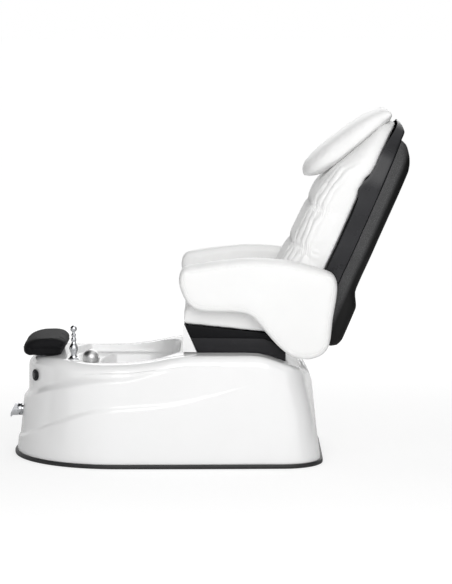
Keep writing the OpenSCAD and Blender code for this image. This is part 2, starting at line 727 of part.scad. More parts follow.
module control_box() {
    color(charcoal) {
        slab(-rail_x + 24, -rail_x + 124, 194, 314, foot_h + 34, foot_h + 104);
        for (y = [204, 292]) slab(-rail_x - 15, -rail_x + 60, y, y + 12, foot_h + 30, foot_h + 34);
    }
}

// ---------- Seat unit: frame, pan, cushions, arms ----------

arm_pins = [hinge_y + 10, hinge_y + 60];
arm_pin_z = (rail_z[0] + rail_z[1]) / 2;
rail_end = arm_pins[1] + 23;

module seat_frame() {
    inner = seat_rail_x - seat_rail_w / 2;
    color(steel) difference() {
        union() {
            both_sides() {
                slab(inner, inner + seat_rail_w, -38, rail_end, rail_z[0], rail_z[1]);
                across(lug_x, lug_x + ear_t) union() {
                    polygon([[hinge_y - 24, rail_z[0] + 2], [hinge_y + 30, rail_z[0] + 2],
                        [hinge_y + 17, hinge_z], [hinge_y - 17, hinge_z]]);
                    translate([hinge_y, hinge_z]) circle(r = eye_r);
                }
                across(clevis_gap, clevis_gap + 6) polygon([[actuator_head[0] - 22, rail_z[1] - 3],
                    actuator_head - [12, 12], actuator_head + [12, -12],
                    [actuator_head[0] + 22, rail_z[1] - 3]]);
            }
            for (y = [-38, 52, hinge_y - 24, rail_end - 25])
                slab(-inner, inner, y, y + 25, rail_z[0], rail_z[1]);
            slab(-clevis_gap - 6, clevis_gap + 6, -14, 60, rail_z[1] - 5, rail_z[1]);
            bar_x(-clevis_gap - 8, clevis_gap + 8, actuator_head, pin_r);
        }
        both_sides() bar_x(lug_x - 1, lug_x + ear_t + 1, [hinge_y, hinge_z], hinge_r + run_gap);
    }
}

band_half_w = cover_half_w;
skirt_half_w = cover_half_w - cover_wall - 2;
skirt_y = -92;
skirt_t = 5;
pan_front = skirt_y + skirt_t + seat_gap;
// Height of the pan's top face along the seat
pan_line = [[-84, deck_h + 111], [330, deck_h + 68]];
function pan_top(y) = along(y, pan_line);

module seat_pan() {
    t = 4;
    low = cover_top + band_gap;
    color(black) {
        difference() {
            across(-band_half_w, band_half_w) polygon([[pan_front, pan_top(pan_front)], [-64, low],
                [227, low - 3], [280, low - 22], [322, low - 22], [322, pan_top(322)]]);
            across(-band_half_w + t, band_half_w - t) polygon([[pan_front + t, pan_top(pan_front) - t],
                [-59, low - 40], [400, low - 60], [400, pan_top(322) - t], [322, pan_top(322) - t]]);
        }
        both_sides() across(skirt_half_w - 3, skirt_half_w)
            polygon([[-58, low + 5], [-28, deck_h + 2], [200, deck_h + 2], [286, low - 40], [290, low + 2],
                [227, low + 5]]);
        both_sides() for (y = [-46, 100, 215])
            slab(skirt_half_w - 4, band_half_w - 2, y, y + 10, low, low + 5);
        for (y = [20, 250]) slab(-150, 150, y, y + 20, rail_z[1], pan_top(y + 20) - 2);
    }
}

module front_skirt() {
    top = pan_top(pan_front);
    half = cover_half_w + 8;
    color(white) difference() {
        across(-half, half) polygon([[skirt_y, deck_h + 5], [skirt_y + 2, deck_h + 3], [-38, deck_h + 3],
            [-86, top], [skirt_y, top]]);
        across(-half + skirt_t, half - skirt_t) polygon([[skirt_y + skirt_t, deck_h - 10],
            [skirt_y + skirt_t, top + 5], [0, top + 5], [0, deck_h - 10]]);
    }
}

// Cross-section of a pad, counter-clockwise in [x, height]: flat foot, full sides, rolled and crowned top
function pad_section(w, lo, hi, r, crown, arc, flat) = let (
    right = concat(
        [[0, lo], [0.9 * w, lo], [w - 1, lo + 6], [w + 2, (lo + hi - r) / 2]],
        [for (k = [0 : arc]) let (a = 90 * k / arc) [w - r + r * cos(a), hi - r + r * sin(a)]],
        [for (k = [1 : flat]) let (x = (w - r) * (1 - k / flat)) [x, hi + crown * (1 - pow(x / (w - r), 2))]]))
    concat(right, [for (i = [len(right) - 2 : -1 : 1]) [-right[i][0], right[i][1]]]);

cushion_gap = 4;
module seat_cushion() {
    w = seat_half_w - cushion_gap - 2;
    // Station, drop of the foot, drop of the top, edge radius
    stations = [[-91, -12, 46, 18], [-90, -6, 34, 24], [-84, 0, 20, 30], [-70, 0, 9, 34], [-40, 0, 2, 36],
        [0, 0, 1, 36], [34, 0, 2, 36], [42, 0, 9, 36], [50, 0, 2, 36], [90, 0, 1, 36], [134, 0, 2, 36],
        [142, 0, 9, 36], [150, 0, 2, 36], [200, 0, 3, 34], [225, 0, 9, 32], [250, 0, 15, 30],
        [290, 0, 30, 26], [320, 0, 45, 20]];
    rings = [for (s = stations) let (lo = pan_top(s[0]) + seat_gap - s[1], hi = seat_h - 12 - s[2])
        [for (q = flip(pad_section(w, lo, hi, s[3], 12, 3, 4))) [q[0], s[0], q[1]]]];
    color(white) loft_capped(rings);
}

// Outline of an arm in [Y, Z], counter-clockwise seen from the chair's left
arm_points = [for (p = [[-110, 300], [-97, 245], [-72, 201], [-30, 177], [40, 170], [120, 167],
    [178, 149], [232, 89], [285, 32], [332, -4], [375, -17], [418, -16], [462, 4], [487, 45], [498, 135],
    [512, 230], [514, 287], [494, 325], [430, 348], [340, 371], [250, 382], [160, 385], [60, 376],
    [-30, 362], [-92, 348]]) p + [0, deck_h]];
arm_mid = [320, deck_h + 220];

// Ring at x, drawn in by d, its top side lowered by drop
function lowered(z, drop) = z - drop * min(1, max(0, (z - deck_h - 205) / 180));
function arm_ring(x, d, drop = 0) =
    [for (q = inset(closed_curve(arm_points, 2), d)) [x, q[0], lowered(q[1], drop)]];
function arm_face(x, t, d, drop = 0) = [for (q = inset(closed_curve(arm_points, 2), d))
    let (p = mix(arm_mid, [q[0], lowered(q[1], drop)], t)) [x, p[0], p[1]]];
module arm() {
    x0 = seat_half_w;
    x1 = seat_half_w + arm_w;
    rings = [arm_face(x0, 0.55, 24), arm_ring(x0, 24), arm_ring(x0 + 3, 11), arm_ring(x0 + 9, 3),
        arm_ring(x0 + 20, 0), arm_ring(x0 + 46, -1, 2), arm_ring(x1 - 24, 0, 6), arm_ring(x1 - 14, 4, 9),
        arm_ring(x1 - 8, 9, 10), arm_ring(x1 - 6.5, 13, 10), arm_ring(x1 - 4, 19, 10),
        arm_face(x1 - 1, 0.85, 19, 10), arm_face(x1, 0.5, 19, 10)];
    loft(rings, [x0, arm_mid[0], arm_mid[1]], [x1, arm_mid[0], arm_mid[1]]);
}
module arm_left() color(white) arm();
module arm_right() color(white) mirror([1, 0, 0]) arm();

module arm_brackets() {
    x0 = seat_rail_x + seat_rail_w / 2;
    x1 = seat_half_w - seat_gap;
    color(steel) both_sides() {
        for (y = arm_pins) bar_x(x0, x1 - 4, [y, arm_pin_z], 11);
        slab(x1 - 4, x1, arm_pins[0] - 16, arm_pins[1] + 16, arm_pin_z - 16, arm_pin_z + 16);
    }
}

// ---------- Back: everything leans with it, t behind the spine line and s up along it ----------

back_foot = [440, deck_h + 125];
// Points and stations given from the top of the back board
function above(line) = [for (p = line) p + [back_l, 0]];
function over(stations) = [for (k = stations) k + back_l];
module back_space() translate([0, back_foot[0], back_foot[1]]) rotate([-back_lean, 0, 0]) children();
// Closed solid through sections of [x, t], each at its own station s
module back_loft(stations, sections) {
    rings = [for (i = [0 : len(stations) - 1]) [for (q = sections[i]) [q[0], q[1], stations[i]]]];
    back_space() loft_capped(rings);
}

half_w_line = concat([[-72, seat_half_w - 7], [200, seat_half_w - 7], [330, back_half_w - 6]],
    above([[-30, back_half_w], [100, back_half_w - 18], [180, back_half_w - 57], [225, back_half_w - 102],
        [245, back_half_w - 150], [256, back_half_w - 202]]));
// Stations that follow the back where it widens
widening = [200, 232, 262, 290, 318, 346];
// Front edge of the glossy side shell
side_front = concat([[-40, -50], [346, -50], [425, -49]],
    above([[-85, -53], [-49, -69], [-23, -63], [21, -48], [77, -41], [107, -42], [167, -34], [225, -22],
        [256, -18]]));
// Rear line of the glossy shell: flat where the rear shell closes it, then the knob over its top
side_rear = concat([[-40, 15]], above([[192, 15], [222, 17], [242, 4], [256, -14]]));
// Rear line of the rear shell
rear_line = concat([[-72, 91], [-58, 110], [-24, 120], [99, 119], [173, 89], [420, 87]],
    above([[85, 88], [110, 84], [138, 74], [166, 56], [184, 38], [192, 18]]));
part_t = 15;

function box_section(w, t0, t1, c) = [[w - c, t0], [w, t0 + c], [w, t1 - 2 * c], [w - 2 * c, t1],
    [-w + 2 * c, t1], [-w, t1 - 2 * c], [-w, t0 + c], [-w + c, t0]];
module side_shell() {
    s = concat([-40], widening, [425], over([-85, -49, -23, 21, 77, 107, 155, 192, 222, 236, 248, 256]));
    inner = concat([-60], widening, [425], over([-49, 21, 77, 107, 155, 194]));
    color(black) difference() {
        back_loft(s, [for (k = s)
            box_section(along(k, half_w_line), along(k, side_front), along(k, side_rear), 3)]);
        back_loft(inner, [for (k = inner) box_section(along(k, half_w_line) - shell_wall, -100, 60, 3)]);
    }
}

// Open-fronted section with rolled rear corners
function tray_section(w, t0, t1, roll) = let (r = min(roll, 0.8 * (t1 - t0)), right = concat([[w, t0]],
        [for (a = [0 : 22.5 : 90]) [w - r + r * cos(a), t1 - r + r * sin(a)]]))
    concat(right, [for (i = [len(right) - 1 : -1 : 0]) [-right[i][0], right[i][1]]]);
module rear_shell() {
    s = concat([-72, -66, -58, -24, 40, 99, 136], widening, over([-30, 85, 110, 138, 166, 184, 192]));
    inner = concat([-66, -24, 99, 136], widening, over([-30, 85, 110, 138, 166, 182]));
    color(speckle) difference() {
        back_loft(s, [for (k = s) let (w = along(k, half_w_line) - (k < -60 ? 6 : 0))
            tray_section(w, part_t + seat_gap, along(k, rear_line), 38)]);
        back_loft(inner, [for (k = inner) let (w = along(k, half_w_line) - shell_wall)
            tray_section(w, part_t - 40, along(k, rear_line) - shell_wall, 34)]);
    }
}

upright_t = [-44, -6];
rod_t = 30;
rod_x = 90;
span_s = [150, back_l - 20];
module back_frame() {
    color(steel) difference() {
        back_space() difference() {
            union() {
                both_sides()
                    slab(seat_rail_x - 12.5, seat_rail_x + 12.5, upright_t[0], upright_t[1], -90, back_l);
                for (s = [span_s[0] - 20, span_s[1]]) {
                    slab(-seat_rail_x, seat_rail_x, upright_t[0], upright_t[1], s, s + 20);
                    slab(-rod_x - 15, rod_x + 15, upright_t[1], rod_t + 14, s, s + 20);
                }
            }
            translate([0, rod_t, span_s[0] - 40]) cylinder(r = rod_r + run_gap, h = 60);
            translate([0, rod_t, span_s[1] - 20]) cylinder(r = rod_r + run_gap, h = 60);
        }
        slab(-300, 300, 300, 500, rail_z[0] - 80, rail_z[1]);
    }
}

board_t = [-55, -45];
board_x = seat_half_w - 28;
module back_board() {
    color(charcoal) back_space() difference() {
        slab(-board_x, board_x, board_t[0], board_t[1], 10, back_l);
        slab(-125, 125, board_t[0] - 5, board_t[1] + 5, span_s[0] - 10, span_s[1] - 10);
    }
}

// Front line of the back cushion, with a dip at each tuft line, and its rear line
cushion_front = concat([[0, -205], [30, -218], [90, -224], [150, -222], [190, -217], [222, -209], [238, -200],
    [254, -209], [330, -208], [380, -205], [408, -193], [432, -205], [470, -205]],
    above([[-78, -196], [-50, -187], [-16, -176], [68, -134], [158, -91], [225, -61], [248, -50]]));
cushion_rear = concat([[0, -55.3]], above([[2, -55.3], [22, -43], [77, -35], [110, -35], [167, -32], [190, -31],
    [225, -25], [248, -21]]));
pleat_depth = concat([[0, 2], [90, 6], [215, 7], [238, 3], [262, 7], [385, 7], [408, 3], [435, 6]],
    above([[-60, 4], [0, 0], [248, 0]]));
cushion_half_w = concat([[0, seat_half_w - 8], [200, seat_half_w - 8], [330, back_half_w - 12]],
    above([[-30, back_half_w - 9], [100, back_half_w - 32], [180, back_half_w - 72], [225, back_half_w - 118],
        [248, back_half_w - 168]]));
// How far the cushion's edge wraps back round its board
cushion_lip = concat([[0, 10]], above([[-5, 10], [10, 0], [248, 0]]));
// Pad section in [x, t]: a lip round the board, then pleats where every second point of the front sinks
function pleated_section(s) = let (
    w = along(s, cushion_half_w), rear = along(s, cushion_rear), h = rear - along(s, cushion_front),
    sink = along(s, pleat_depth), lip = max(0.6, along(s, cushion_lip)),
    edge = min(along(s, half_w_line) - shell_wall - 2, w - 1),
    rim = [[0.6 * edge, rear], [edge - 13, rear], [edge - 12, rear + lip], [edge - 1, rear + lip],
        [edge, rear + lip - 2], [edge, rear - 3], [w - 1, rear - 6]],
    pad = pad_section(w, 0, h, min(84, 0.6 * h), 0, 8, 5), n = len(pad),
    front = [for (i = [3 : n - 3]) let (j = min(i, n - i), d = j > 4 && j % 2 == 1 ? sink : 0)
        [pad[i][0] * (1 - d / w), rear - pad[i][1] * (1 - d / max(60, h))]])
    concat([[0, rear]], rim, front, [for (i = [len(rim) - 1 : -1 : 0]) [-rim[i][0], rim[i][1]]]);
module back_cushion() {
    s = concat([0, 8, 34, 90, 150, 200, 226, 238, 250, 290, 318, 346, 390, 408, 426, 462],
        over([-77, -42, 0, 12, 68, 120, 170, 213, 248]));
    color(white) back_loft(s, [for (k = s) flip(pleated_section(k))]);
}

// Side outline of the head pillow in [t, s]
pillow_points = [for (p = [[-275, -100], [-290, -70], [-285, -38], [-256, 34], [-208, 121], [-156, 203],
    [-103, 264], [-76, 281], [-54, 276], [-45.6, 257.2], [-69, 219.5], [-101, 156], [-144, 66], [-188, -17],
    [-214, -60], [-247, -92]]) p + [0, back_l]];
pillow_mid = [-60, back_l + 268];
pillow_along = [143, 285] / norm([143, 285]);
module head_pillow() {
    outline = closed_curve(pillow_points, 2);
    // Share of the half width, draw-in of the length, draw-in of the thickness
    half = [[0, 0, 0], [0.5, 0.04, 0.05], [0.8, 0.12, 0.18], [0.92, 0.19, 0.32], [0.975, 0.25, 0.55],
        [1, 0.31, 0.8]];
    ends = concat([for (i = [5 : -1 : 1]) [-half[i][0], half[i][1], half[i][2]]], half);
    u = pillow_along;
    v = [u[1], -u[0]];
    rings = [for (e = ends) [for (p = outline)
        let (d = p - pillow_mid, q = pillow_mid + u * (d * u) * (1 - e[1]) + v * (d * v) * (1 - e[2]))
        [e[0] * pillow_half_w, q[0], q[1]]]];
    color(white) back_space() loft_capped([for (r = rings) flip(r)]);
}

// ---------- Massage mechanism inside the back ----------

carriage_s = 230;
axle_t = -18;
axle_step = 45;
axle_r = 7;
arm_x = 30;

module guide_rods() {
    color(chrome) back_space() both_sides()
        translate([rod_x, rod_t, span_s[0]]) cylinder(r = rod_r, h = span_s[1] - span_s[0]);
}

module lead_screw() {
    color(chrome) back_space() translate([0, rod_t, span_s[0] - 20]) {
        cylinder(r = rod_r, h = span_s[1] - span_s[0] + 40);
        translate([0, 0, span_s[1] - span_s[0] + 40 + seat_gap]) cylinder(r = rod_r + 4, h = 5);
        translate([0, 0, span_s[1] - span_s[0] + 40]) cylinder(r = rod_r, h = 5);
    }
}

module massage_motor() {
    color(black) back_space() translate([0, rod_t, span_s[0] - 20 - seat_gap]) {
        translate([0, 0, -60]) cylinder(r = 25, h = 59.7);
        translate([-28, -25, -8]) cube([56, 50, 8]);
    }
}

module massage_carriage() {
    color(charcoal) back_space() difference() {
        union() {
            slab(-rod_x - 18, rod_x + 18, rod_t - 15, rod_t + 16, carriage_s - 35, carriage_s + 35);
            both_sides() across(arm_x - 4, arm_x + 4) polygon([[rod_t - 14, carriage_s - 34],
                [axle_t, carriage_s - axle_step - 14], [axle_t - 14, carriage_s - axle_step],
                [axle_t - 14, carriage_s + axle_step], [axle_t, carriage_s + axle_step + 14],
                [rod_t - 14, carriage_s + 34]]);
        }
        for (x = [-rod_x, 0, rod_x])
            translate([x, rod_t, carriage_s - 50]) cylinder(r = rod_r + run_gap + 0.03, h = 100);
        for (k = [-1, 1]) bar_x(-60, 60, [axle_t, carriage_s + k * axle_step], axle_r + run_gap);
    }
}

module roller_pair(s) {
    color(pipe_grey) back_space() {
        bar_x(-82, 82, [axle_t, s], axle_r);
        both_sides() {
            bar_x(46, 76, [axle_t, s], roller_r - 5);
            translate([61, axle_t, s]) rotate([0, 90, 0])
                rotate_extrude() translate([roller_r - 9, 0]) circle(r = 9);
        }
    }
}
module upper_rollers() roller_pair(carriage_s + axle_step);
module lower_rollers() roller_pair(carriage_s - axle_step);

tub_shell();
base_trim();
base_frame();
levelling_feet();
deck_plate();
hinge_brackets();
hinge_shaft();
base_cover();
actuator_bracket();
footrest_bracket();
footrest_pad();
spout();
shower_socket();
hand_shower();
button_bezel();
air_button();
mixer_body();
mixer_cap();
mixer_lever();
basin_jets();
jet_pipes();
suction_cover();
drain_fitting();
drain_plug();
waste_pipe();
water_inlets();
pump_housing();
pump_impeller();
pump_motor();
control_box();
actuator_body();
actuator_rod();
seat_frame();
seat_pan();
front_skirt();
seat_cushion();
arm_brackets();
arm_left();
arm_right();
back_frame();
back_board();
side_shell();
rear_shell();
back_cushion();
head_pillow();
guide_rods();
lead_screw();
massage_motor();
massage_carriage();
upper_rollers();
lower_rollers();
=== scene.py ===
"""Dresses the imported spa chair: smooth shells, upholstery, seams, finishes, studio, camera."""

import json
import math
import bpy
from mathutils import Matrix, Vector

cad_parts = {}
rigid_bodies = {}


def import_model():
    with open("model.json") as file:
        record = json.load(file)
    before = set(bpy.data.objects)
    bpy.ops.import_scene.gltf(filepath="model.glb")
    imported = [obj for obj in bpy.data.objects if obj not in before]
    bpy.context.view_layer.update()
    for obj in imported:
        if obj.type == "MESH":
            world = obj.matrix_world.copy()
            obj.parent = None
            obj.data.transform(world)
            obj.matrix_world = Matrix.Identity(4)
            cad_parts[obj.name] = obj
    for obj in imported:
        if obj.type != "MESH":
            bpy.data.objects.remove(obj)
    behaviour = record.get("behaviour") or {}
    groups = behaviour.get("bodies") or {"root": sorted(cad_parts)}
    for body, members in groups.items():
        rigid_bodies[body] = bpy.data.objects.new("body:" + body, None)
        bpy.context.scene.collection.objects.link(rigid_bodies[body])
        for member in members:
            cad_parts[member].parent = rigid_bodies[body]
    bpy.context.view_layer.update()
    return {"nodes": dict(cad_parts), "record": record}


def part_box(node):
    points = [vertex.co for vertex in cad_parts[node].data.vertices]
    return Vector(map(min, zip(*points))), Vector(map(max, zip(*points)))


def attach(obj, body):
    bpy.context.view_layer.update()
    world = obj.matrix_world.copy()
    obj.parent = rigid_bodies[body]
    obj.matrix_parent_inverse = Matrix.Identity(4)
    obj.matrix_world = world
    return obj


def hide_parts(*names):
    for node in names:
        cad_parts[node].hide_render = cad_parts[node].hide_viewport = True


bl_info = {
    "name": "Spa Chair Dressing",
    "version": (1, 0, 0),
    "blender": (4, 5, 0),
    "location": "View3D > Sidebar > Spa Chair",
    "description": "Builds the shells, upholstery and finishes of a pedicure spa chair",
    "category": "Object",
}

import bmesh
import bpy
import numpy as np
from mathutils import Vector, kdtree, noise

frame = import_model()
NODES = frame["nodes"]
MM = 0.001
SEED = 7
MERGE_M = 1e-5


def box_mm(node):
    """Lowest and highest corners of a node, in millimetres."""
    low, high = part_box(node)
    return np.array(low) / MM, np.array(high) / MM


# ---------------------------------------------------------------- sizes, in millimetres

# The tub: its plan, wall, recess and basin.
TRIM_OUT = 8
TRIM_LOW, TRIM_HIGH = box_mm("base_trim")
NOSE_Y = TRIM_LOW[1] + TRIM_OUT
TUB_REAR = TRIM_HIGH[1] - TRIM_OUT
TUB_HALF_W = TRIM_HIGH[0] - TRIM_OUT
TUB_REAR_HALF_W = TUB_HALF_W - 10
NOSE_L = 420
WAIST_Y = NOSE_Y + NOSE_L
CORNER_R = 150
TRIM_H = TRIM_HIGH[2]
DECK_H = box_mm("tub_shell")[1][2]
TUB_WALL = 6
ROLL_R = 38
CORNER_SOFT = 74
CORNER_RUN = 204
RECESS_Y = NOSE_Y + 224
RECESS_END = RECESS_Y + 440
RECESS_HALF_W = 252
SHELF_H = 368
BASIN_HALF_W = 240
BASIN_Y = RECESS_Y + 115
BASIN_END = RECESS_END - 27
BASIN_MID = (BASIN_Y + BASIN_END) / 2
BASIN_FLOOR = 120.0
BASIN_IN = 31

# The seat, arms and back. The foot of the back is a [y, z] place that its leaning axes start from.
ARM_LOW, ARM_HIGH = box_mm("arm_left")
ARM_X0, ARM_X1 = ARM_LOW[0], ARM_HIGH[0]
SEAT_HALF_W = ARM_X0
SEAT_LOW, SEAT_HIGH = box_mm("seat_cushion")
SEAT_H = SEAT_HIGH[2]
PILLOW_HALF_W = box_mm("head_pillow")[1][0]
BACK_HALF_W = box_mm("rear_shell")[1][0]
BACK_FOOT = np.array([440.0, 560.0])
BACK_LEAN = math.radians(23.5)
SHELL_WALL = 5

# ---------------------------------------------------------------- curves


def slope(line, i):
    return (line[i + 1][1] - line[i][1]) / (line[i + 1][0] - line[i][0])


def tangents(line):
    """Slope at each point of a line, level where the line turns back."""
    out = [slope(line, 0)]
    for i in range(1, len(line) - 1):
        a, b = slope(line, i - 1), slope(line, i)
        out.append(0.0 if a * b <= 0 else 2 * a * b / (a + b))
    return np.array(out + [slope(line, len(line) - 2)])


def along(at, line):
    """Smooth value along a line of (place, value) points, without overshoot."""
    at = np.asarray(at, float)
    places, values = (np.array(v, float) for v in zip(*line))
    slopes = tangents(line)
    i = np.clip(np.searchsorted(places, at, side="right") - 1, 0, len(line) - 2)
    h = places[i + 1] - places[i]
    t = np.clip((at - places[i]) / h, 0, 1)
    return (
        values[i] * (1 + 2 * t) * (1 - t) ** 2
        + values[i + 1] * t * t * (3 - 2 * t)
        + h * t * (1 - t) * (slopes[i] * (1 - t) - slopes[i + 1] * t)
    )


def closed_curve(points, steps):
    """Smooth closed curve through a few points."""
    p = np.array(points, float)
    a, b, c, d = np.roll(p, 1, 0), p, np.roll(p, -1, 0), np.roll(p, -2, 0)
    t = (np.arange(steps) / steps)[None, :, None]
    a, b, c, d = (v[:, None, :] for v in (a, b, c, d))
    square, cube = 2 * a - 5 * b + 4 * c - d, 3 * b - a - 3 * c + d
    curve = 2 * b + (c - a) * t + square * t**2 + cube * t**3
    return (0.5 * curve).reshape(-1, 2)


def inward(outline):
    """Inward normals of a counter-clockwise outline."""
    v = np.roll(outline, -1, 0) - np.roll(outline, 1, 0)
    n = np.stack([-v[:, 1], v[:, 0]], 1)
    return n / np.linalg.norm(n, axis=1, keepdims=True)


def inset(outline, d):
    return outline + np.asarray(d) * inward(outline)


def at_height(outline, z):
    z = np.broadcast_to(z, (len(outline),))
    return np.column_stack([outline, z])


def smooth_step(t):
    t = np.clip(t, 0, 1)
    return t * t * (3 - 2 * t)


def bell(d, width):
    """Soft bump, 1 at no distance and near 0 beyond two widths."""
    return np.exp(-((np.asarray(d) / width) ** 2))


def even(line, count):
    """Rows of (place, value, ...) resampled evenly by row number, smoothly."""
    rows = np.array(line, float)
    key = np.arange(len(rows))
    at = np.linspace(0, len(rows) - 1, count)
    return np.column_stack([along(at, list(zip(key, column))) for column in rows.T])


def steps(*runs):
    """Sorted places along a piece, from runs of (first, last, count)."""
    return np.unique(np.concatenate([np.linspace(*run) for run in runs]))


# ---------------------------------------------------------------- meshes


def new_object(name, vertices, faces):
    mesh = bpy.data.meshes.new(name)
    mesh.from_pydata((np.asarray(vertices) * MM).tolist(), [], faces)
    obj = bpy.data.objects.new(name, mesh)
    bpy.context.scene.collection.objects.link(obj)
    return obj


def ring_faces(m, n, loop=False):
    return [
        (i * n + j, i * n + (j + 1) % n, ((i + 1) % m) * n + (j + 1) % n, ((i + 1) % m) * n + j)
        for i in range(m if loop else m - 1)
        for j in range(n)
    ]


def outwards(obj):
    """Merges what lies together and turns every face out."""
    bm = bmesh.new()
    bm.from_mesh(obj.data)
    bmesh.ops.remove_doubles(bm, verts=bm.verts, dist=MERGE_M)
    bmesh.ops.recalc_face_normals(bm, faces=bm.faces)
    bm.to_mesh(obj.data)
    bm.free()
    return obj


def loft(name, rings, first=None, last=None):
    """Closed solid through rings, with each end fanned to a point."""
    rings = np.asarray(rings, float)
    m, n = rings.shape[:2]
    first = rings[0].mean(0) if first is None else first
    last = rings[-1].mean(0) if last is None else last
    faces = ring_faces(m, n)
    faces += [(m * n, (j + 1) % n, j) for j in range(n)]
    end = (m - 1) * n
    faces += [(m * n + 1, end + j, end + (j + 1) % n) for j in range(n)]
    return outwards(new_object(name, np.vstack([rings.reshape(-1, 3), [first, last]]), faces))


def band(name, rings):
    """Closed band: the last ring joins the first."""
    rings = np.asarray(rings, float)
    m, n = rings.shape[:2]
    return outwards(new_object(name, rings.reshape(-1, 3), ring_faces(m, n, True)))


def sheet(name, rows):
    """Open sheet through rows of points."""
    rows = np.asarray(rows, float)
    m, n = rows.shape[:2]
    faces = [
        (i * n + j, i * n + j + 1, (i + 1) * n + j + 1, (i + 1) * n + j)
        for i in range(m - 1)
        for j in range(n - 1)
    ]
    return new_object(name, rows.reshape(-1, 3), faces)


def points_mm(obj):
    co = np.empty(len(obj.data.vertices) * 3)
    obj.data.vertices.foreach_get("co", co)
    return co.reshape(-1, 3) / MM


def set_points(obj, points):
    obj.data.vertices.foreach_set("co", (points * MM).ravel())
    obj.data.update()


def normals(obj):
    out = np.empty(len(obj.data.vertices) * 3, np.float32)
    obj.data.vertex_normals.foreach_get("vector", out)
    return out.reshape(-1, 3).astype(float)


def smooth_shading(obj, angle=None):
    """Rounds the shading, and keeps edges sharper than angle, in degrees, if it is given."""
    for polygon in obj.data.polygons:
        polygon.use_smooth = True
    if angle is not None:
        obj.data.set_sharp_from_angle(angle=math.radians(angle))
    return obj


def with_modifier(obj, kind, **settings):
    """Adds one modifier and applies it to the mesh."""
    modifier = obj.modifiers.new(kind.title(), kind)
    for name, value in settings.items():
        setattr(modifier, name, value)
    return bake(obj)


def bake(obj):
    """Turns an object's modifiers into its plain mesh."""
    graph = bpy.context.evaluated_depsgraph_get()
    mesh = bpy.data.meshes.new_from_object(obj.evaluated_get(graph))
    obj.modifiers.clear()
    obj.data = mesh
    return obj


def subdivide(obj):
    return with_modifier(obj, "SUBSURF", levels=1, render_levels=1)


def rounded(obj, width, angle):
    """Rounds the edges sharper than angle, in degrees."""
    return with_modifier(
        obj, "BEVEL", width=width * MM, segments=3, limit_method="ANGLE",
        angle_limit=math.radians(angle),
    )


def mirrored(obj, name):
    """Copy of a left-hand piece for the right."""
    copy = bpy.data.objects.new(name, obj.data.copy())
    bpy.context.scene.collection.objects.link(copy)
    points = points_mm(copy)
    points[:, 0] *= -1
    set_points(copy, points)
    copy.data.flip_normals()
    return copy


def merged_copy(node, name, bevel, angle):
    """Copy of a CAD node as one smooth mesh, with its sharp edges rounded."""
    obj = bpy.data.objects.new(name, NODES[node].data.copy())
    bpy.context.scene.collection.objects.link(obj)
    bm = bmesh.new()
    bm.from_mesh(obj.data)
    bmesh.ops.remove_doubles(bm, verts=bm.verts, dist=2 * MERGE_M)
    bmesh.ops.dissolve_limit(bm, angle_limit=math.radians(1), verts=bm.verts, edges=bm.edges)
    bm.to_mesh(obj.data)
    bm.free()
    rounded(obj, bevel, angle)
    return smooth_shading(obj, angle)


def shortened(obj, joint, keep):
    """Draws up the hidden end of a piece that slides in, to leave keep millimetres."""
    joints = frame["record"]["behaviour"]["joints"]
    outward = -np.array(next(j["axis"] for j in joints if j["name"] == joint))
    points = points_mm(obj)
    depth = points @ outward
    set_points(obj, points + np.outer(np.maximum(depth.max() - keep - depth, 0), outward))
    return obj


def dress(obj, body, slot, *nodes, finish=None):
    """Gives a piece its body and the finish of its slot, or the named finish, and hides the CAD
    nodes that it stands for.
    """
    obj.data.materials.clear()
    obj.data.materials.append(MATERIALS[finish or slot])
    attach(obj, body)
    if nodes:
        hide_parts(*nodes)
    return obj


# ---------------------------------------------------------------- nodes


def feed(tree, socket, value):
    """Gives a socket its own value, or a link from another node's output."""
    if isinstance(value, Socket):
        value = value.output
    if isinstance(value, bpy.types.NodeSocket):
        tree.links.new(value, socket)
    else:
        socket.default_value = value


def add_node(tree, kind, settings=None, inputs=None):
    """Adds a node: its settings first, then the values or links of its sockets."""
    made = tree.nodes.new(kind)
    for name, value in (settings or {}).items():
        setattr(made, name, value)
    for name, value in (inputs or {}).items():
        feed(tree, made.inputs[name], value)
    return made


def output_of(tree, kind, inputs=None, **settings):
    """First output of a node that it adds."""
    return add_node(tree, kind, settings, inputs).outputs[0]


class Socket:
    """A shader socket that takes part in Python arithmetic by adding Math nodes."""

    def __init__(self, shader, output):
        self.shader = shader
        self.output = output

    def maths(self, operation, *values):
        inputs = dict(enumerate(values))
        return self.shader.node("ShaderNodeMath", {"operation": operation}, inputs)

    def __add__(self, other):
        return self.maths("ADD", self, other)

    def __radd__(self, other):
        return self.maths("ADD", other, self)

    def __sub__(self, other):
        return self.maths("SUBTRACT", self, other)

    def __rsub__(self, other):
        return self.maths("SUBTRACT", other, self)

    def __mul__(self, other):
        return self.maths("MULTIPLY", self, other)

    def __rmul__(self, other):
        return self.maths("MULTIPLY", other, self)

    def clamped(self, low=0.0, high=1.0):
        return self.shader.node(
            "ShaderNodeMapRange",
            {"clamp": True},
            {"Value": self, "From Min": low, "From Max": high},
        )


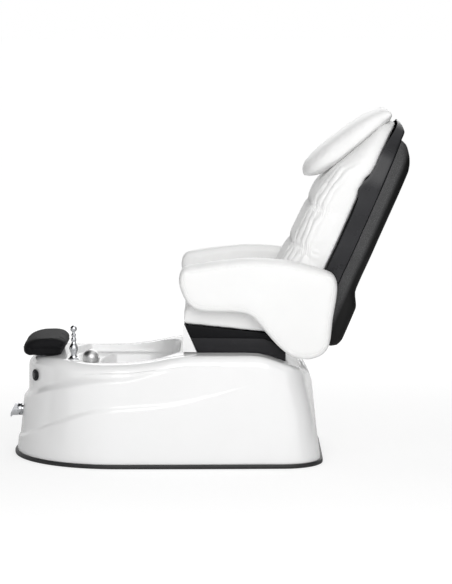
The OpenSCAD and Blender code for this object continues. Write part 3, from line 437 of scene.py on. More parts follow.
class Shader:
    """One procedural material on a Principled surface."""

    def __init__(self, name):
        self.material = bpy.data.materials.new(name)
        self.material.use_nodes = True
        self.tree = self.material.node_tree
        self.surface = self.tree.nodes["Principled BSDF"]
        self.place = self.node("ShaderNodeTexCoord", output="Object")

    def node(self, kind, settings=None, inputs=None, output=0):
        """Adds a node and wraps one of its outputs."""
        return Socket(self, add_node(self.tree, kind, settings, inputs).outputs[output])

    def noise(self, scale, detail, roughness=0.5, vector=None):
        inputs = {
            "Vector": vector or self.place, "Scale": scale, "Detail": detail, "Roughness": roughness
        }
        return self.node("ShaderNodeTexNoise", {"noise_dimensions": "3D"}, inputs)

    def pebbles(self, scale):
        """Distance from the middle of soft rounded cells."""
        inputs = {"Vector": self.place, "Scale": scale}
        return self.node("ShaderNodeTexVoronoi", {"feature": "SMOOTH_F1"}, inputs, "Distance")

    def stretched(self, x, y, z):
        """Object coordinates scaled by axis."""
        inputs = {0: self.place, 1: (x, y, z)}
        return self.node("ShaderNodeVectorMath", {"operation": "MULTIPLY"}, inputs)

    def reach(self, direction):
        """Distance along a direction from the origin, in metres."""
        inputs = {0: self.place, 1: direction}
        return self.node("ShaderNodeVectorMath", {"operation": "DOT_PRODUCT"}, inputs, "Value")

    def height(self):
        """Height above the floor, in metres."""
        return self.node("ShaderNodeSeparateXYZ", None, {0: self.place}, "Z")

    def mix(self, share, a, b):
        """Colour a share of the way from a to b."""
        made = add_node(self.tree, "ShaderNodeMix", {"data_type": "RGBA"}, {"Factor": share})
        colours = [s for s in made.inputs if s.type == "RGBA"]
        for socket, value in zip(colours, (a, b)):
            feed(self.tree, socket, value if isinstance(value, Socket) else (*value, 1))
        return Socket(self, next(s for s in made.outputs if s.type == "RGBA"))

    def bump(self, height, distance_mm, strength):
        inputs = {"Height": height, "Distance": distance_mm * MM, "Strength": strength}
        return self.node("ShaderNodeBump", None, inputs)

    def finish(self, **sockets):
        """Sets the surface's sockets; an underscore stands for a space."""
        for name, value in sockets.items():
            title = " ".join("IOR" if word == "ior" else word.title() for word in name.split("_"))
            feed(self.tree, self.surface.inputs[title], value)
        return self.material


def toned(colour, share, lift=0.0):
    """A colour made darker or lighter by a share, then lifted towards grey."""
    return tuple(min(1.0, c * share + lift) for c in colour)


def gelcoat(name, colour):
    """Polished moulded acrylic: a faint orange peel under a clear gloss."""
    s = Shader(name)
    cloud = s.noise(5.0, 3.0)
    tint = s.mix(cloud.clamped(0.35, 0.7), colour, toned(colour, 0.985))
    dust = s.noise(240.0, 2.0).clamped(0.62, 0.8)
    peel = s.bump(s.noise(70.0, 1.0), 0.05, 0.35)
    return s.finish(
        base_color=tint, roughness=0.13 + 0.05 * cloud + 0.12 * dust, normal=peel,
        coat_weight=0.35, coat_roughness=0.06,
    )


def gloss_moulding(name, colour):
    """Polished dark moulding with faint wiping marks."""
    s = Shader(name)
    wipes = s.noise(30.0, 4.0, 0.6, s.stretched(1.0, 0.25, 0.25))
    tint = s.mix(wipes.clamped(0.3, 0.8), colour, toned(colour, 1.5, 0.002))
    peel = s.bump(s.noise(60.0, 1.0), 0.05, 0.3)
    return s.finish(
        base_color=tint, roughness=0.2 + 0.16 * wipes, normal=peel, specular_ior_level=0.3
    )


def grained_moulding(name, colour, grain=420.0, depth=0.12, rough=0.42, shine=0.5):
    """Satin moulding with a fine spark-eroded grain."""
    s = Shader(name)
    grains = s.noise(grain, 3.0, 0.6)
    scuffs = s.noise(26.0, 5.0, 0.65).clamped(0.55, 0.8)
    tint = s.mix(scuffs, colour, toned(colour, 1.25, 0.004))
    return s.finish(
        base_color=tint, roughness=rough + 0.14 * grains + 0.06 * scuffs,
        normal=s.bump(grains, depth, 0.6), specular_ior_level=shine,
    )


def speckled_moulding_with_painted_shade(name, colour):
    """Coarse moulding flecked with grey, plain, and darkened by painted shade where it rolls to the
    rear.
    """
    s = Shader(name)
    flecks = s.noise(420.0, 2.0, 0.7).clamped(0.5, 0.68)
    broad = s.noise(150.0, 3.0, 0.6)
    rearwards = (0.0, math.cos(BACK_LEAN), -math.sin(BACK_LEAN))
    foot = (BACK_FOOT[0] * rearwards[1] + BACK_FOOT[1] * rearwards[2]) * MM
    # Painted shade: where the shell rolls to the rear, the colour falls to 0.12 of itself to stand
    # in for the shade there.
    rolled = s.reach(rearwards).clamped(foot + 0.048, foot + 0.066)
    face = s.mix(flecks, colour, toned(colour, 2.4))
    tint = s.mix(rolled, face, toned(colour, 0.12))
    grain = s.bump(broad + flecks * 0.6, 0.35, 0.8)
    return s.finish(
        base_color=tint, roughness=0.52 + 0.2 * broad, normal=grain, specular_ior_level=0.2
    )


def vinyl(name, colour, grain, rough=0.42, shine=0.5, sheen=0.06):
    """Upholstery vinyl: pebbled grain, fine creases, a slightly shinier crown to each pebble."""
    s = Shader(name)
    drift = s.noise(120.0, 2.0)
    pebbles = s.pebbles(560.0)
    creases = s.noise(16.0, 6.0, 0.62)
    height = pebbles * -0.7 + drift * 0.35 + creases * 1.2
    cloud = s.noise(7.0, 3.0)
    tint = s.mix(cloud.clamped(0.3, 0.75), colour, toned(colour, 0.975))
    return s.finish(
        base_color=tint, roughness=rough + 0.12 * pebbles + 0.06 * cloud,
        normal=s.bump(height, grain, 0.55), specular_ior_level=shine,
        sheen_weight=sheen, sheen_roughness=0.5,
    )


def bright_metal(name, colour):
    """Polished plate with faint water marks."""
    s = Shader(name)
    marks = s.noise(45.0, 4.0, 0.6).clamped(0.45, 0.75)
    fine = s.noise(420.0, 2.0)
    tint = s.mix(marks, colour, toned(colour, 0.93))
    return s.finish(
        base_color=tint, metallic=1.0, roughness=0.06 + 0.07 * marks, normal=s.bump(fine, 0.01, 0.3)
    )


def brushed_metal(name, colour, rough=0.3):
    """Metal with fine lines brushed across the chair."""
    s = Shader(name)
    lines = s.noise(900.0, 2.0, 0.6, s.stretched(0.06, 1.0, 1.0))
    tint = s.mix(lines, colour, toned(colour, 0.86))
    return s.finish(
        base_color=tint, metallic=1.0, roughness=rough + 0.12 * lines,
        normal=s.bump(lines, 0.02, 0.4),
    )


def powder_coat(name, colour):
    """Baked paint with a fine orange peel."""
    s = Shader(name)
    peel = s.noise(380.0, 2.0)
    tint = s.mix(s.noise(14.0, 4.0), colour, toned(colour, 0.9))
    return s.finish(base_color=tint, roughness=0.42 + 0.12 * peel, normal=s.bump(peel, 0.06, 0.5))


def rubber(name, colour):
    """Satin extruded rubber, dusty towards the floor."""
    s = Shader(name)
    dust = s.noise(60.0, 5.0, 0.65).clamped(0.5, 0.85)
    low = (1.0 - s.height() * 40.0).clamped()
    tint = s.mix(dust * low, colour, toned(colour, 1.0, 0.025))
    return s.finish(
        base_color=tint, roughness=0.5 + 0.18 * dust, normal=s.bump(s.noise(300.0, 2.0), 0.05, 0.5)
    )


def thread(name, colour):
    """Twisted sewing thread."""
    s = Shader(name)
    twist = s.node(
        "ShaderNodeTexWave", {"wave_type": "BANDS"},
        {"Vector": s.place, "Scale": 900.0, "Distortion": 1.0}, "Fac",
    )
    tint = s.mix(twist, colour, toned(colour, 0.85))
    return s.finish(base_color=tint, roughness=0.7 + 0.1 * twist, normal=s.bump(twist, 0.06, 0.6))


MATERIALS = {}


def make_materials(colours):
    """Every finish of the chair, by the record's slot."""
    shell, cushions, footrest, side_shell, rear_shell, cover = (
        tuple(getattr(colours, name)) for name in ChairColours.__annotations__
    )
    MATERIALS.update(
        white_gelcoat=gelcoat("white_gelcoat", shell),
        white_vinyl=vinyl("white_vinyl", cushions, grain=0.12),
        black_vinyl=vinyl("black_vinyl", footrest, grain=0.2, rough=0.52, shine=0.04, sheen=0.0),
        gloss_black=gloss_moulding("gloss_black", side_shell),
        speckled_black=speckled_moulding_with_painted_shade("speckled_black", rear_shell),
        charcoal_cover=grained_moulding("charcoal_cover", cover, rough=0.3, shine=0.22),
        # Painted shade: the seat pan's finish is a duller copy of the covers' at half their colour,
        # darkened for the shade under the seat.
        black_pan=grained_moulding("black_pan", toned(cover, 0.5), rough=0.34, shine=0.1),
        black_moulding=grained_moulding("black_moulding", (0.014, 0.014, 0.015), shine=0.15),
        trim_rubber=rubber("trim_rubber", (0.012, 0.012, 0.013)),
        chrome=bright_metal("chrome", (0.6, 0.61, 0.63)),
        satin_chrome=brushed_metal("satin_chrome", (0.66, 0.66, 0.66), rough=0.32),
        bright_steel=brushed_metal("bright_steel", (0.62, 0.63, 0.65)),
        inlet_brass=brushed_metal("inlet_brass", (0.72, 0.56, 0.3), rough=0.22),
        painted_steel=powder_coat("painted_steel", (0.3, 0.31, 0.33)),
        pipe_plastic=grained_moulding("pipe_plastic", (0.55, 0.55, 0.53), 200.0, 0.05, 0.35),
        roller_plastic=grained_moulding("roller_plastic", (0.55, 0.54, 0.5), 260.0, 0.05, 0.3),
        seam_thread=thread("seam_thread", toned(cushions, 0.97)),
        black_thread=thread("black_thread", (0.02, 0.02, 0.02)),
    )


# ---------------------------------------------------------------- upholstery


FILL_FRAMES = 20


def swell(obj, cap, voxel):
    """Fills a pad by cloth pressure. No point moves further than cap, in millimetres."""
    scene = bpy.context.scene
    with_modifier(obj, "REMESH", mode="VOXEL", voxel_size=voxel * MM)
    start = points_mm(obj)
    cloth = obj.modifiers.new("Fill", "CLOTH")
    settings = cloth.settings
    settings.use_pressure = True
    settings.uniform_pressure_force = 4.0
    settings.effector_weights.gravity = 0.0
    settings.tension_stiffness = 15
    settings.compression_stiffness = 15
    settings.bending_stiffness = 0.6
    settings.quality = 4
    cloth.collision_settings.use_collision = False
    cloth.point_cache.frame_end = FILL_FRAMES
    for step in range(1, FILL_FRAMES + 1):
        scene.frame_set(step)
    graph = bpy.context.evaluated_depsgraph_get()
    moved = np.empty(len(start) * 3)
    obj.evaluated_get(graph).data.vertices.foreach_get("co", moved)
    moved = moved.reshape(-1, 3) / MM - start
    obj.modifiers.clear()
    scene.frame_set(1)
    length = np.linalg.norm(moved, axis=1, keepdims=True)
    set_points(obj, start + moved * np.minimum(1, cap / np.maximum(length, 1e-6)))
    with_modifier(obj, "SMOOTH", factor=0.5, iterations=2)
    return subdivide(obj)


def keep_inside(obj, low, high):
    """Flattens what swelled past a box onto its faces."""
    set_points(obj, np.clip(points_mm(obj), low, high))


def crinkle(points, normal, depth, scale, squeeze=(1, 1, 1)):
    """Moves points along their normals by smooth seeded noise."""
    noise.seed_set(SEED)
    where = points * np.array(squeeze) * MM * scale
    waves = np.array([noise.fractal(Vector(p), 0.8, 2.0, 3) for p in where])
    return points + normal * (waves * depth)[:, None]


def pad_section(w, lo, hi, r, crown, arc, flat):
    """Section of a pad as [x, height] points: flat foot, full sides, crowned top."""
    a = np.radians(90 * np.arange(arc + 1) / arc)
    x = (w - r) * (1 - np.arange(1, flat + 1) / flat)
    foot = [[0, lo], [0.45 * w, lo], [0.9 * w, lo], [w - 3, lo + 2], [w, lo + 8]]
    right = np.vstack([
        foot,
        [w + 2, (lo + hi - r) / 2],
        np.column_stack([w - r + r * np.cos(a), hi - r + r * np.sin(a)]),
        np.column_stack([x, hi + crown * (1 - (x / (w - r)) ** 2)]),
    ])
    return np.vstack([right, right[-2:0:-1] * [-1, 1]])


def back_place(x, t, s):
    """From across, behind and up the leaning back to the chair's own axes."""
    c, n = math.cos(BACK_LEAN), math.sin(BACK_LEAN)
    y = BACK_FOOT[0] + t * c + s * n
    z = BACK_FOOT[1] - t * n + s * c
    return np.stack(np.broadcast_arrays(x, y, z), -1)


def back_coordinates(points):
    """Across, behind and up the leaning back, from the chair's own axes."""
    c, n = math.cos(BACK_LEAN), math.sin(BACK_LEAN)
    y, z = points[:, 1] - BACK_FOOT[0], points[:, 2] - BACK_FOOT[1]
    return points[:, 0], y * c - z * n, y * n + z * c


# ---------------------------------------------------------------- tub

PLAN_STEPS = (27, 24, 12, 6)


def plan(w, front, waist, wr, rear, r):
    """Plan outline, counter-clockwise: elliptical nose, sides, rear corners, edge."""
    nose, side, corner, edge = PLAN_STEPS
    a = np.radians(np.arange(nose) * 90 / nose)
    k = np.arange(side) / side
    b = np.radians(np.arange(corner + 1) * 90 / corner)
    e = 1 - np.arange(1, edge + 1) / edge
    half = np.vstack([
        np.column_stack([w * np.sin(a), waist - (waist - front) * np.cos(a)]),
        np.column_stack([w - (w - wr) * k * k, waist + (rear - r - waist) * k]),
        np.column_stack([wr - r + r * np.cos(b), rear - r + r * np.sin(b)]),
        np.column_stack([(wr - r) * e, np.full(edge, rear)]),
    ])
    return np.vstack([half, half[-2:0:-1] * [-1, 1]])


TUB_PLAN = plan(TUB_HALF_W, NOSE_Y, WAIST_Y, TUB_REAR_HALF_W, TUB_REAR, CORNER_R)
TUB_IN = inward(TUB_PLAN)
RECESS_TOP = plan(RECESS_HALF_W, RECESS_Y, RECESS_Y + 75, RECESS_HALF_W, RECESS_END, 115)
RECESS_FOOT = plan(
    RECESS_HALF_W - 6, RECESS_Y + 7, RECESS_Y + 78, RECESS_HALF_W - 6, RECESS_END - 14, 112
)

# Lines along the tub, as (y, height or distance) points.
TOP_LINE = [
    (NOSE_Y, DECK_H - 64), (NOSE_Y + 60, DECK_H - 46), (NOSE_Y + 100, DECK_H - 36),
    (NOSE_Y + 140, DECK_H - 28), (RECESS_Y - 23, DECK_H - 24), (RECESS_Y + 43, DECK_H - 33),
    (RECESS_Y + 135, DECK_H - 37), (RECESS_Y + 221, DECK_H - 35), (RECESS_Y + 314, DECK_H - 26),
    (RECESS_END - 5, DECK_H - 4), (RECESS_END + 45, DECK_H), (TUB_REAR - 254, DECK_H),
    (TUB_REAR - 223, DECK_H - 7), (TUB_REAR - 161, DECK_H - 30), (TUB_REAR - 114, DECK_H - 52),
    (TUB_REAR - 82, DECK_H - 83), (TUB_REAR - 60, DECK_H - 127), (TUB_REAR - 50, DECK_H - 160),
]
UPPER_RIDGE = [
    (NOSE_Y, DECK_H - 203), (NOSE_Y + 129, DECK_H - 147), (NOSE_Y + 333, DECK_H - 105),
    (NOSE_Y + 456, DECK_H - 97), (NOSE_Y + 563, DECK_H - 73), (-60, DECK_H - 51),
    (TUB_REAR - 254, DECK_H - 60), (TUB_REAR - 154, DECK_H - 115), (TUB_REAR, DECK_H - 215),
]
LOWER_RIDGE = [
    (NOSE_Y, 66), (NOSE_Y + 72, 113), (NOSE_Y + 163, 157), (NOSE_Y + 333, 213),
    (NOSE_Y + 620, 241), (TUB_REAR - 437, 280), (TUB_REAR - 236, 325), (TUB_REAR - 154, 280),
    (TUB_REAR, 160),
]
UPPER_STEP = [(NOSE_Y, 20), (WAIST_Y, 14), (NOSE_Y + 649, 0), (TUB_REAR, 0)]
LOWER_STEP = [(NOSE_Y, 7), (WAIST_Y, 8), (TUB_REAR - 236, 0), (TUB_REAR, 0)]
WALL_LEAN = [(NOSE_Y, 24), (WAIST_Y, 38), (TUB_REAR - 154, 42), (TUB_REAR, 40)]
LEAN_H = 400
LEAN_TOP = [(NOSE_Y, 240), (WAIST_Y, LEAN_H), (TUB_REAR, LEAN_H)]


def basin_plan(d):
    """Outline of the foot basin, drawn in by d."""
    w = BASIN_HALF_W - d
    return plan(w, BASIN_Y + d, BASIN_Y + 60, w, BASIN_END - d, 110 - d)


class TubWall:
    """The tub's wall above its plan: leaning, stepped at two ridges, rolled at the rim."""

    def __init__(self):
        self.y = TUB_PLAN[:, 1]
        self.low = along(self.y, LOWER_RIDGE)
        self.high = along(self.y, UPPER_RIDGE)
        self.a = along(self.y, LOWER_STEP)
        self.b = along(self.y, UPPER_STEP)
        full = self.lean(along(self.y, TOP_LINE)) + self.a + self.b + self.corner(LEAN_H) + ROLL_R
        self.shoulder = along(self.moved_in(full)[:, 1], TOP_LINE) - ROLL_R

    def lean(self, z):
        """How far the wall leans in at a height."""
        return along(self.y, WALL_LEAN) * np.minimum(1, z / along(self.y, LEAN_TOP))

    def corner(self, z):
        """How far the rear corners are drawn in at a height."""
        near = np.clip((self.y - TUB_REAR) / CORNER_RUN + 1, 0, 1)
        high = np.minimum(1, np.asarray(z) / LEAN_H)
        return CORNER_SOFT * near * high**2 * np.abs(TUB_PLAN[:, 0]) / TUB_HALF_W

    def moved_in(self, d):
        return TUB_PLAN + np.asarray(d)[:, None] * TUB_IN

    def ring(self, z, step_a, step_b, add):
        """Ring at a height, with a share of each ridge's step."""
        d = self.lean(z) + self.corner(z) + self.a * step_a + self.b * step_b + add
        return at_height(self.moved_in(d), z)

    def wall(self, add=0.0, full=True):
        """Rings from the foot to the shoulder."""
        low, high = self.low, self.high
        a, b = self.a / LOWER_STEP[1][1], self.b / UPPER_STEP[0][1]
        mid = (low + high) / 2 + 6
        rows = [
            (np.full_like(low, TRIM_H - 8), 0, 0), (np.full_like(low, TRIM_H + 12), 0, 0),
            ((low + TRIM_H) / 2, 0, 0), (low - 5, 0, 0), (low, 0.02, 0),
            (low + 2 + 7 * a, 0.5, 0), (low + 4 + 12 * a, 0.97, 0), (low + 9 + 14 * a, 1, 0),
            (mid, 1, 0), (high - 6, 1, 0), (high, 1, 0), (high + 3 + 6 * b, 1, 0.35),
            (high + 6 + 16 * b, 1, 0.85), (high + 9 + 25 * b, 1, 1), (high + 16 + 28 * b, 1, 1),
        ]
        top = rows[-1][0]
        rows += [(top + (self.shoulder - top) * t, 1, 1) for t in (0.5, 1)]
        if not full:
            rows = [rows[k] for k in (0, 3, 7, 9, 13, 16)]
        return [self.ring(*row, add) for row in rows]

    def roll(self, degrees, skin=0.0):
        """Ring part of the way round the rim, on its outside or a skin below it."""
        a, r, z = math.radians(degrees), ROLL_R - skin, self.shoulder
        d = self.lean(z) + self.corner(z) + self.a + self.b + skin + r * (1 - math.cos(a))
        return at_height(self.moved_in(d), z + r * math.sin(a))

    def deck(self, t, skin=0.0, grow=0.0):
        """Ring a share of the way from the rim to the recess."""
        rim = self.roll(90, skin)[:, :2]
        flat = rim + (inset(RECESS_TOP, -grow) - rim) * t
        return at_height(flat, along(flat[:, 1], TOP_LINE) - skin)


def build_tub():
    """White moulded tub: outside wall, rolled rim, deck, recess, shelf and basin in one skin."""
    wall, w, lip = TubWall(), TUB_WALL, SHELF_H - 3
    below = [
        (54, BASIN_FLOOR - w), (BASIN_IN, BASIN_FLOOR + 36), (BASIN_IN, lip - 106), (14, lip - 62),
        (-2, lip - w),
    ]
    under = [
        *[at_height(inset(basin_plan(d), -w), z) for d, z in below],
        at_height(inset(RECESS_FOOT, -w), SHELF_H - w),
        *[wall.deck(t, w, w) for t in (1, 0.9, 0.7, 0.4, 0.2)],
        wall.roll(90, w), wall.roll(45, w),
        *wall.wall(w, full=False)[::-1],
    ]
    deck_shares = (0.04, 0.1, 0.18, 0.28, 0.4, 0.55, 0.7, 0.85, 0.95, 0.985, 1)
    outside = [
        *wall.wall(),
        *[wall.roll(a) for a in (20, 45, 70, 90)],
        *[wall.deck(t) for t in deck_shares],
    ]
    edge = outside[-1]
    foot = at_height(RECESS_FOOT, SHELF_H)
    inside = [
        edge + (foot - edge) * 0.12 + [0, 0, -1],
        edge + (foot - edge) * 0.5,
        edge + (foot - edge) * 0.86,
        at_height(inset(RECESS_FOOT, 2), SHELF_H - 0.2),
        at_height(inset(RECESS_FOOT, 8), SHELF_H - 0.5),
    ]
    basin = [
        (-8, lip + 0.5), (-2, lip), (2, lip - 5), (4, lip - 14), (16, lip - 64), (26, lip - 96),
        (BASIN_IN, lip - 112), (BASIN_IN, BASIN_FLOOR + 46), (32, BASIN_FLOOR + 30),
        (37, BASIN_FLOOR + 14), (46, BASIN_FLOOR + 4), (58, BASIN_FLOOR), (72, BASIN_FLOOR),
    ]
    inside += [at_height(basin_plan(d), z) for d, z in basin]
    first, last = [0, BASIN_MID, BASIN_FLOOR - w], [0, BASIN_MID, BASIN_FLOOR]
    tub = loft("tub", under + outside + inside, first, last)
    dress(smooth_shading(subdivide(tub)), "base", "white_gelcoat", "tub_shell")


COLLAR_H = 14.3


def build_shower_pad():
    """Level pad moulded on the deck under the hand shower's collar."""
    low, high = box_mm("shower_socket")
    x, y, top = (low[0] + high[0]) / 2, (low[1] + high[1]) / 2, high[2] - COLLAR_H
    a = np.radians(np.arange(64) * 360 / 64)
    profile = [(27, -12), (26.5, -4), (24.5, -1), (22.5, 0), (8, 0)]
    circle = np.column_stack([np.cos(a), np.sin(a)])
    rings = [at_height([x, y] + r * circle, top + z) for r, z in profile]
    dress(smooth_shading(loft("shower_pad", rings), 40), "base", "white_gelcoat")


def build_trim():
    """Black rubber strip round the foot, with a rounded outside."""
    o = TRIM_OUT
    edges = [
        (13, 0.5), (3 - o, 0.5), (1 - o, 1), (-o, 3.5), (-o, TRIM_H - 5),
        (0.8 - o, TRIM_H - 2.2), (2.6 - o, TRIM_H - 0.6), (4.5 - o, TRIM_H), (13, TRIM_H),
    ]
    trim = band("foot_trim", [at_height(inset(TUB_PLAN, d), z) for d, z in edges])
    points = points_mm(trim)
    points[:, 2] = np.where(points[:, 2] < 1, 0, points[:, 2])
    set_points(trim, points)
    dress(smooth_shading(subdivide(trim), 50), "base", "trim_rubber", "base_trim")


# ---------------------------------------------------------------- footrest

BOLSTER_SEAM = 0.44
# Rows of: share of the height, front, rear, ends, and how far the side panels lie in.
BOLSTER_LEVELS = [
    (0, 8, -3, 5, 9), (0.06, 0, 0, 1, 10), (0.17, -5, 1, 0, 10), (0.36, -5, 2, 0, 10),
    (0.43, -4, 3, 0, 10), (0.47, -3, 14, 0, 0), (0.58, 0, 17, 0, 0), (0.72, 10, 15, 1, 0),
    (0.84, 28, 9, 3, 0), (0.92, 50, 0, 8, 0), (0.955, 82, -18, 24, 0),
]


def squared(values):
    """Cosines or sines of a circle, drawn out towards a soft-cornered rectangle."""
    return np.sign(values) * np.abs(values) ** 0.4


def build_footrest():
    """Black bolster: side panels under a full top that rolls over the front and the rear."""
    low, high = box_mm("footrest_pad")
    front, rear, base, h = low[1] + 5, high[1] - 17, low[2], high[2] - low[2]
    mid = (front + high[1] - 17) / 2
    a = np.radians(np.arange(-90, 270, 3.0))
    rings = []
    for share, f, r, d, panel in even(BOLSTER_LEVELS, 34):
        half = (rear + r - front - f) / 2 - d
        y = (front + f + rear + r) / 2 + half * squared(np.sin(a))
        x = (high[0] - d) * squared(np.cos(a))
        x = x - np.sign(x) * np.minimum(np.abs(x), panel * smooth_step((y - front - 22) / 14))
        rings.append(at_height(np.column_stack([x, y]), base + h * share))
    pad = loft("footrest", rings, [0, mid, base], [0, mid + 12, base + h * 0.96])
    set_points(pad, points_mm(pad) * 0.985 + np.array([0, mid, base + h / 2]) * 0.015)
    swell(pad, cap=3.0, voxel=4.0)
    points, out = points_mm(pad), normals(pad)
    seam = bell((points[:, 2] - base) / h - BOLSTER_SEAM, 0.03) * 2.2
    steep = np.abs(out[:, 2]) < 0.8
    points = points - out * (seam * steep)[:, None]
    edges = smooth_step((np.abs(points[:, 0]) - 100) / 60)[:, None]
    rough = crinkle(points, out, depth=0.9, scale=14, squeeze=(1, 2.2, 1))
    points = rough * edges + points * (1 - edges)
    set_points(pad, points)
    keep_inside(pad, low, high)
    dress(smooth_shading(pad), "base", "black_vinyl", "footrest_pad")


# ---------------------------------------------------------------- back shells

# Lines up the back, as (place up it, half width or place behind its foot line) points.
HALF_W_LINE = [
    (-72, SEAT_HALF_W - 7), (200, SEAT_HALF_W - 7), (330, BACK_HALF_W - 6), (560, BACK_HALF_W),
    (690, BACK_HALF_W - 18), (770, BACK_HALF_W - 57), (815, BACK_HALF_W - 102),
    (835, BACK_HALF_W - 150), (846, BACK_HALF_W - 202),
]
SIDE_FRONT = [
    (-40, -50), (346, -50), (425, -49), (505, -53), (541, -69), (567, -63), (611, -48),
    (667, -41), (697, -42), (757, -34), (815, -22), (846, -18),
]
SIDE_REAR = [(-40, 15), (782, 15), (812, 17), (832, 4), (846, -14)]
REAR_LINE = [
    (-72, 91), (-58, 110), (-24, 120), (99, 119), (173, 89), (420, 87), (675, 88), (700, 84),
    (728, 74), (756, 56), (774, 38), (782, 18),
]
PART_T = 15


def tray(w, t0, t1, roll, arc=10):
    """Row of [x, t] points round an open-fronted shell: side wall, rolled corner, rear wall."""
    flat = 7
    r = min(roll, 0.8 * (t1 - t0))
    a = np.radians(np.linspace(0, 90, arc + 1))
    side = np.column_stack([np.full(5, w), np.linspace(t0, t1 - r, 6)[:-1]])
    corner = np.column_stack([w - r + r * np.cos(a), t1 - r + r * np.sin(a)])
    rear = np.column_stack([(w - r) * (1 - np.arange(1, flat + 1) / flat), np.full(flat, t1)])
    right = np.vstack([side, corner, rear])
    return np.vstack([right, right[-2::-1] * [-1, 1]])


def shell(name, places, rows):
    """Thin shell through rows of [x, t], one at each place up the back."""
    made = sheet(name, [back_place(row[:, 0], row[:, 1], s) for s, row in zip(places, rows)])
    outwards(made)
    centre = np.array([0, 500, 700])
    if np.einsum("ij,ij->i", normals(made), points_mm(made) - centre).mean() < 0:
        made.data.flip_normals()
    with_modifier(made, "SOLIDIFY", thickness=SHELL_WALL * MM, offset=-1, use_even_offset=True)
    return smooth_shading(rounded(made, 0.5, 50), 40)


def build_side_shell():
    """Gloss black shell between the cushion and the rear shell, with the knob over its top."""
    s = steps((-40, 500, 28), (505, 700, 32), (706, 845, 30))
    width, front, rear = (along(s, line) for line in (HALF_W_LINE, SIDE_FRONT, SIDE_REAR))
    rows = [tray(w, t0, t1, roll=7) for w, t0, t1 in zip(width, front, rear)]
    made = shell("side_shell_moulding", s, rows)
    dress(made, "seat_unit", "gloss_black", "side_shell")


def build_rear_shell():
    """Speckled rear shell with deeply rolled edges and a fuller foot."""
    s = steps((-72, 120, 30), (130, 660, 34), (668, 781.5, 34))
    width = along(s, HALF_W_LINE) - 6 * smooth_step((-56 - s) / 16)
    rows = [
        tray(w, PART_T + 0.5, max(t1, PART_T + 2), roll=38, arc=14)
        for w, t1 in zip(width, along(s, REAR_LINE))
    ]
    made = shell("rear_shell_moulding", s, rows)
    dress(made, "seat_unit", "speckled_black", "rear_shell")


# ---------------------------------------------------------------- cushions

PAN_LINE = [(-84, 546), (330, 503)]
SEAT_CHANNELS = (42, 142)
# Rows of: y, how far the foot hangs below the pan, how far the top drops, and its corner's radius.
SEAT_STATIONS = [
    (-91, -12, 46, 18), (-90, -6, 34, 24), (-84, 0, 20, 30), (-70, 0, 9, 34), (-40, 0, 2, 36),
    (0, 0, 1, 36), (60, 0, 1, 36), (120, 0, 1, 36), (180, 0, 2, 35), (225, 0, 9, 32),
    (250, 0, 15, 30), (290, 0, 30, 26), (320, 0, 45, 20),
]


def build_seat_cushion():
    """White seat pad: waterfall front, two sewn channels, a rise towards the back."""
    w = SEAT_HALF_W - 6
    rings = []
    for y, foot, drop, r in even(SEAT_STATIONS, 61):
        lo, hi = along(y, PAN_LINE) + 1 - foot, SEAT_H - 15 - drop
        section = pad_section(w - 3, lo, hi, r, crown=12, arc=8, flat=12)
        rings.append(np.insert(section, 1, y, axis=1))
    pad = loft("seat_pad", rings)
    swell(pad, cap=5.0, voxel=6.0)
    points, out = points_mm(pad), normals(pad)
    across = smooth_step((w + 4 - np.abs(points[:, 0])) / 12)
    top = smooth_step((out[:, 2] + 0.2) / 0.5)
    for y in SEAT_CHANNELS:
        groove = 9 * bell(points[:, 1] - y, 6) + 3 * bell(points[:, 1] - y, 22)
        points[:, 2] -= groove * top * (0.4 + 0.6 * across)
    edge = smooth_step((np.abs(points[:, 0]) - 150) / 60)
    rough = crinkle(points, out, depth=2.0, scale=11, squeeze=(2.4, 1, 1))
    points = points + (rough - points) * edge[:, None]
    points[:, 2] = np.maximum(points[:, 2], along(points[:, 1], PAN_LINE) + 0.3)
    set_points(pad, points)
    keep_inside(pad, SEAT_LOW - [0, 2, 0], SEAT_HIGH + [0, 0, 3])
    dress(smooth_shading(pad), "seat_unit", "white_vinyl", "seat_cushion")


CUSHION_FRONT = [
    (0, -205), (30, -218), (90, -224), (150, -222), (190, -219), (222, -216), (254, -215),
    (330, -210), (380, -208), (432, -207), (470, -205), (512, -196), (540, -187), (574, -176),
    (658, -134), (748, -91), (815, -61), (838, -50),
]
CUSHION_REAR = [
    (0, -55.3), (592, -55.3), (612, -43), (667, -35), (700, -35), (757, -32), (780, -31),
    (815, -25), (838, -21),
]
CUSHION_HALF_W = [
    (0, SEAT_HALF_W - 8), (200, SEAT_HALF_W - 8), (330, BACK_HALF_W - 12),
    (560, BACK_HALF_W - 9), (690, BACK_HALF_W - 32), (770, BACK_HALF_W - 72),
    (815, BACK_HALF_W - 118), (838, BACK_HALF_W - 168),
]
CUSHION_LINES = (CUSHION_HALF_W, CUSHION_REAR, CUSHION_FRONT)
GATHER_LINES = (238, 408)
PLEAT_DEPTH = [(0, 2), (60, 4.5), (120, 6), (560, 6), (620, 1.5), (660, 0), (838, 0)]
CORNER_ROUND = 84


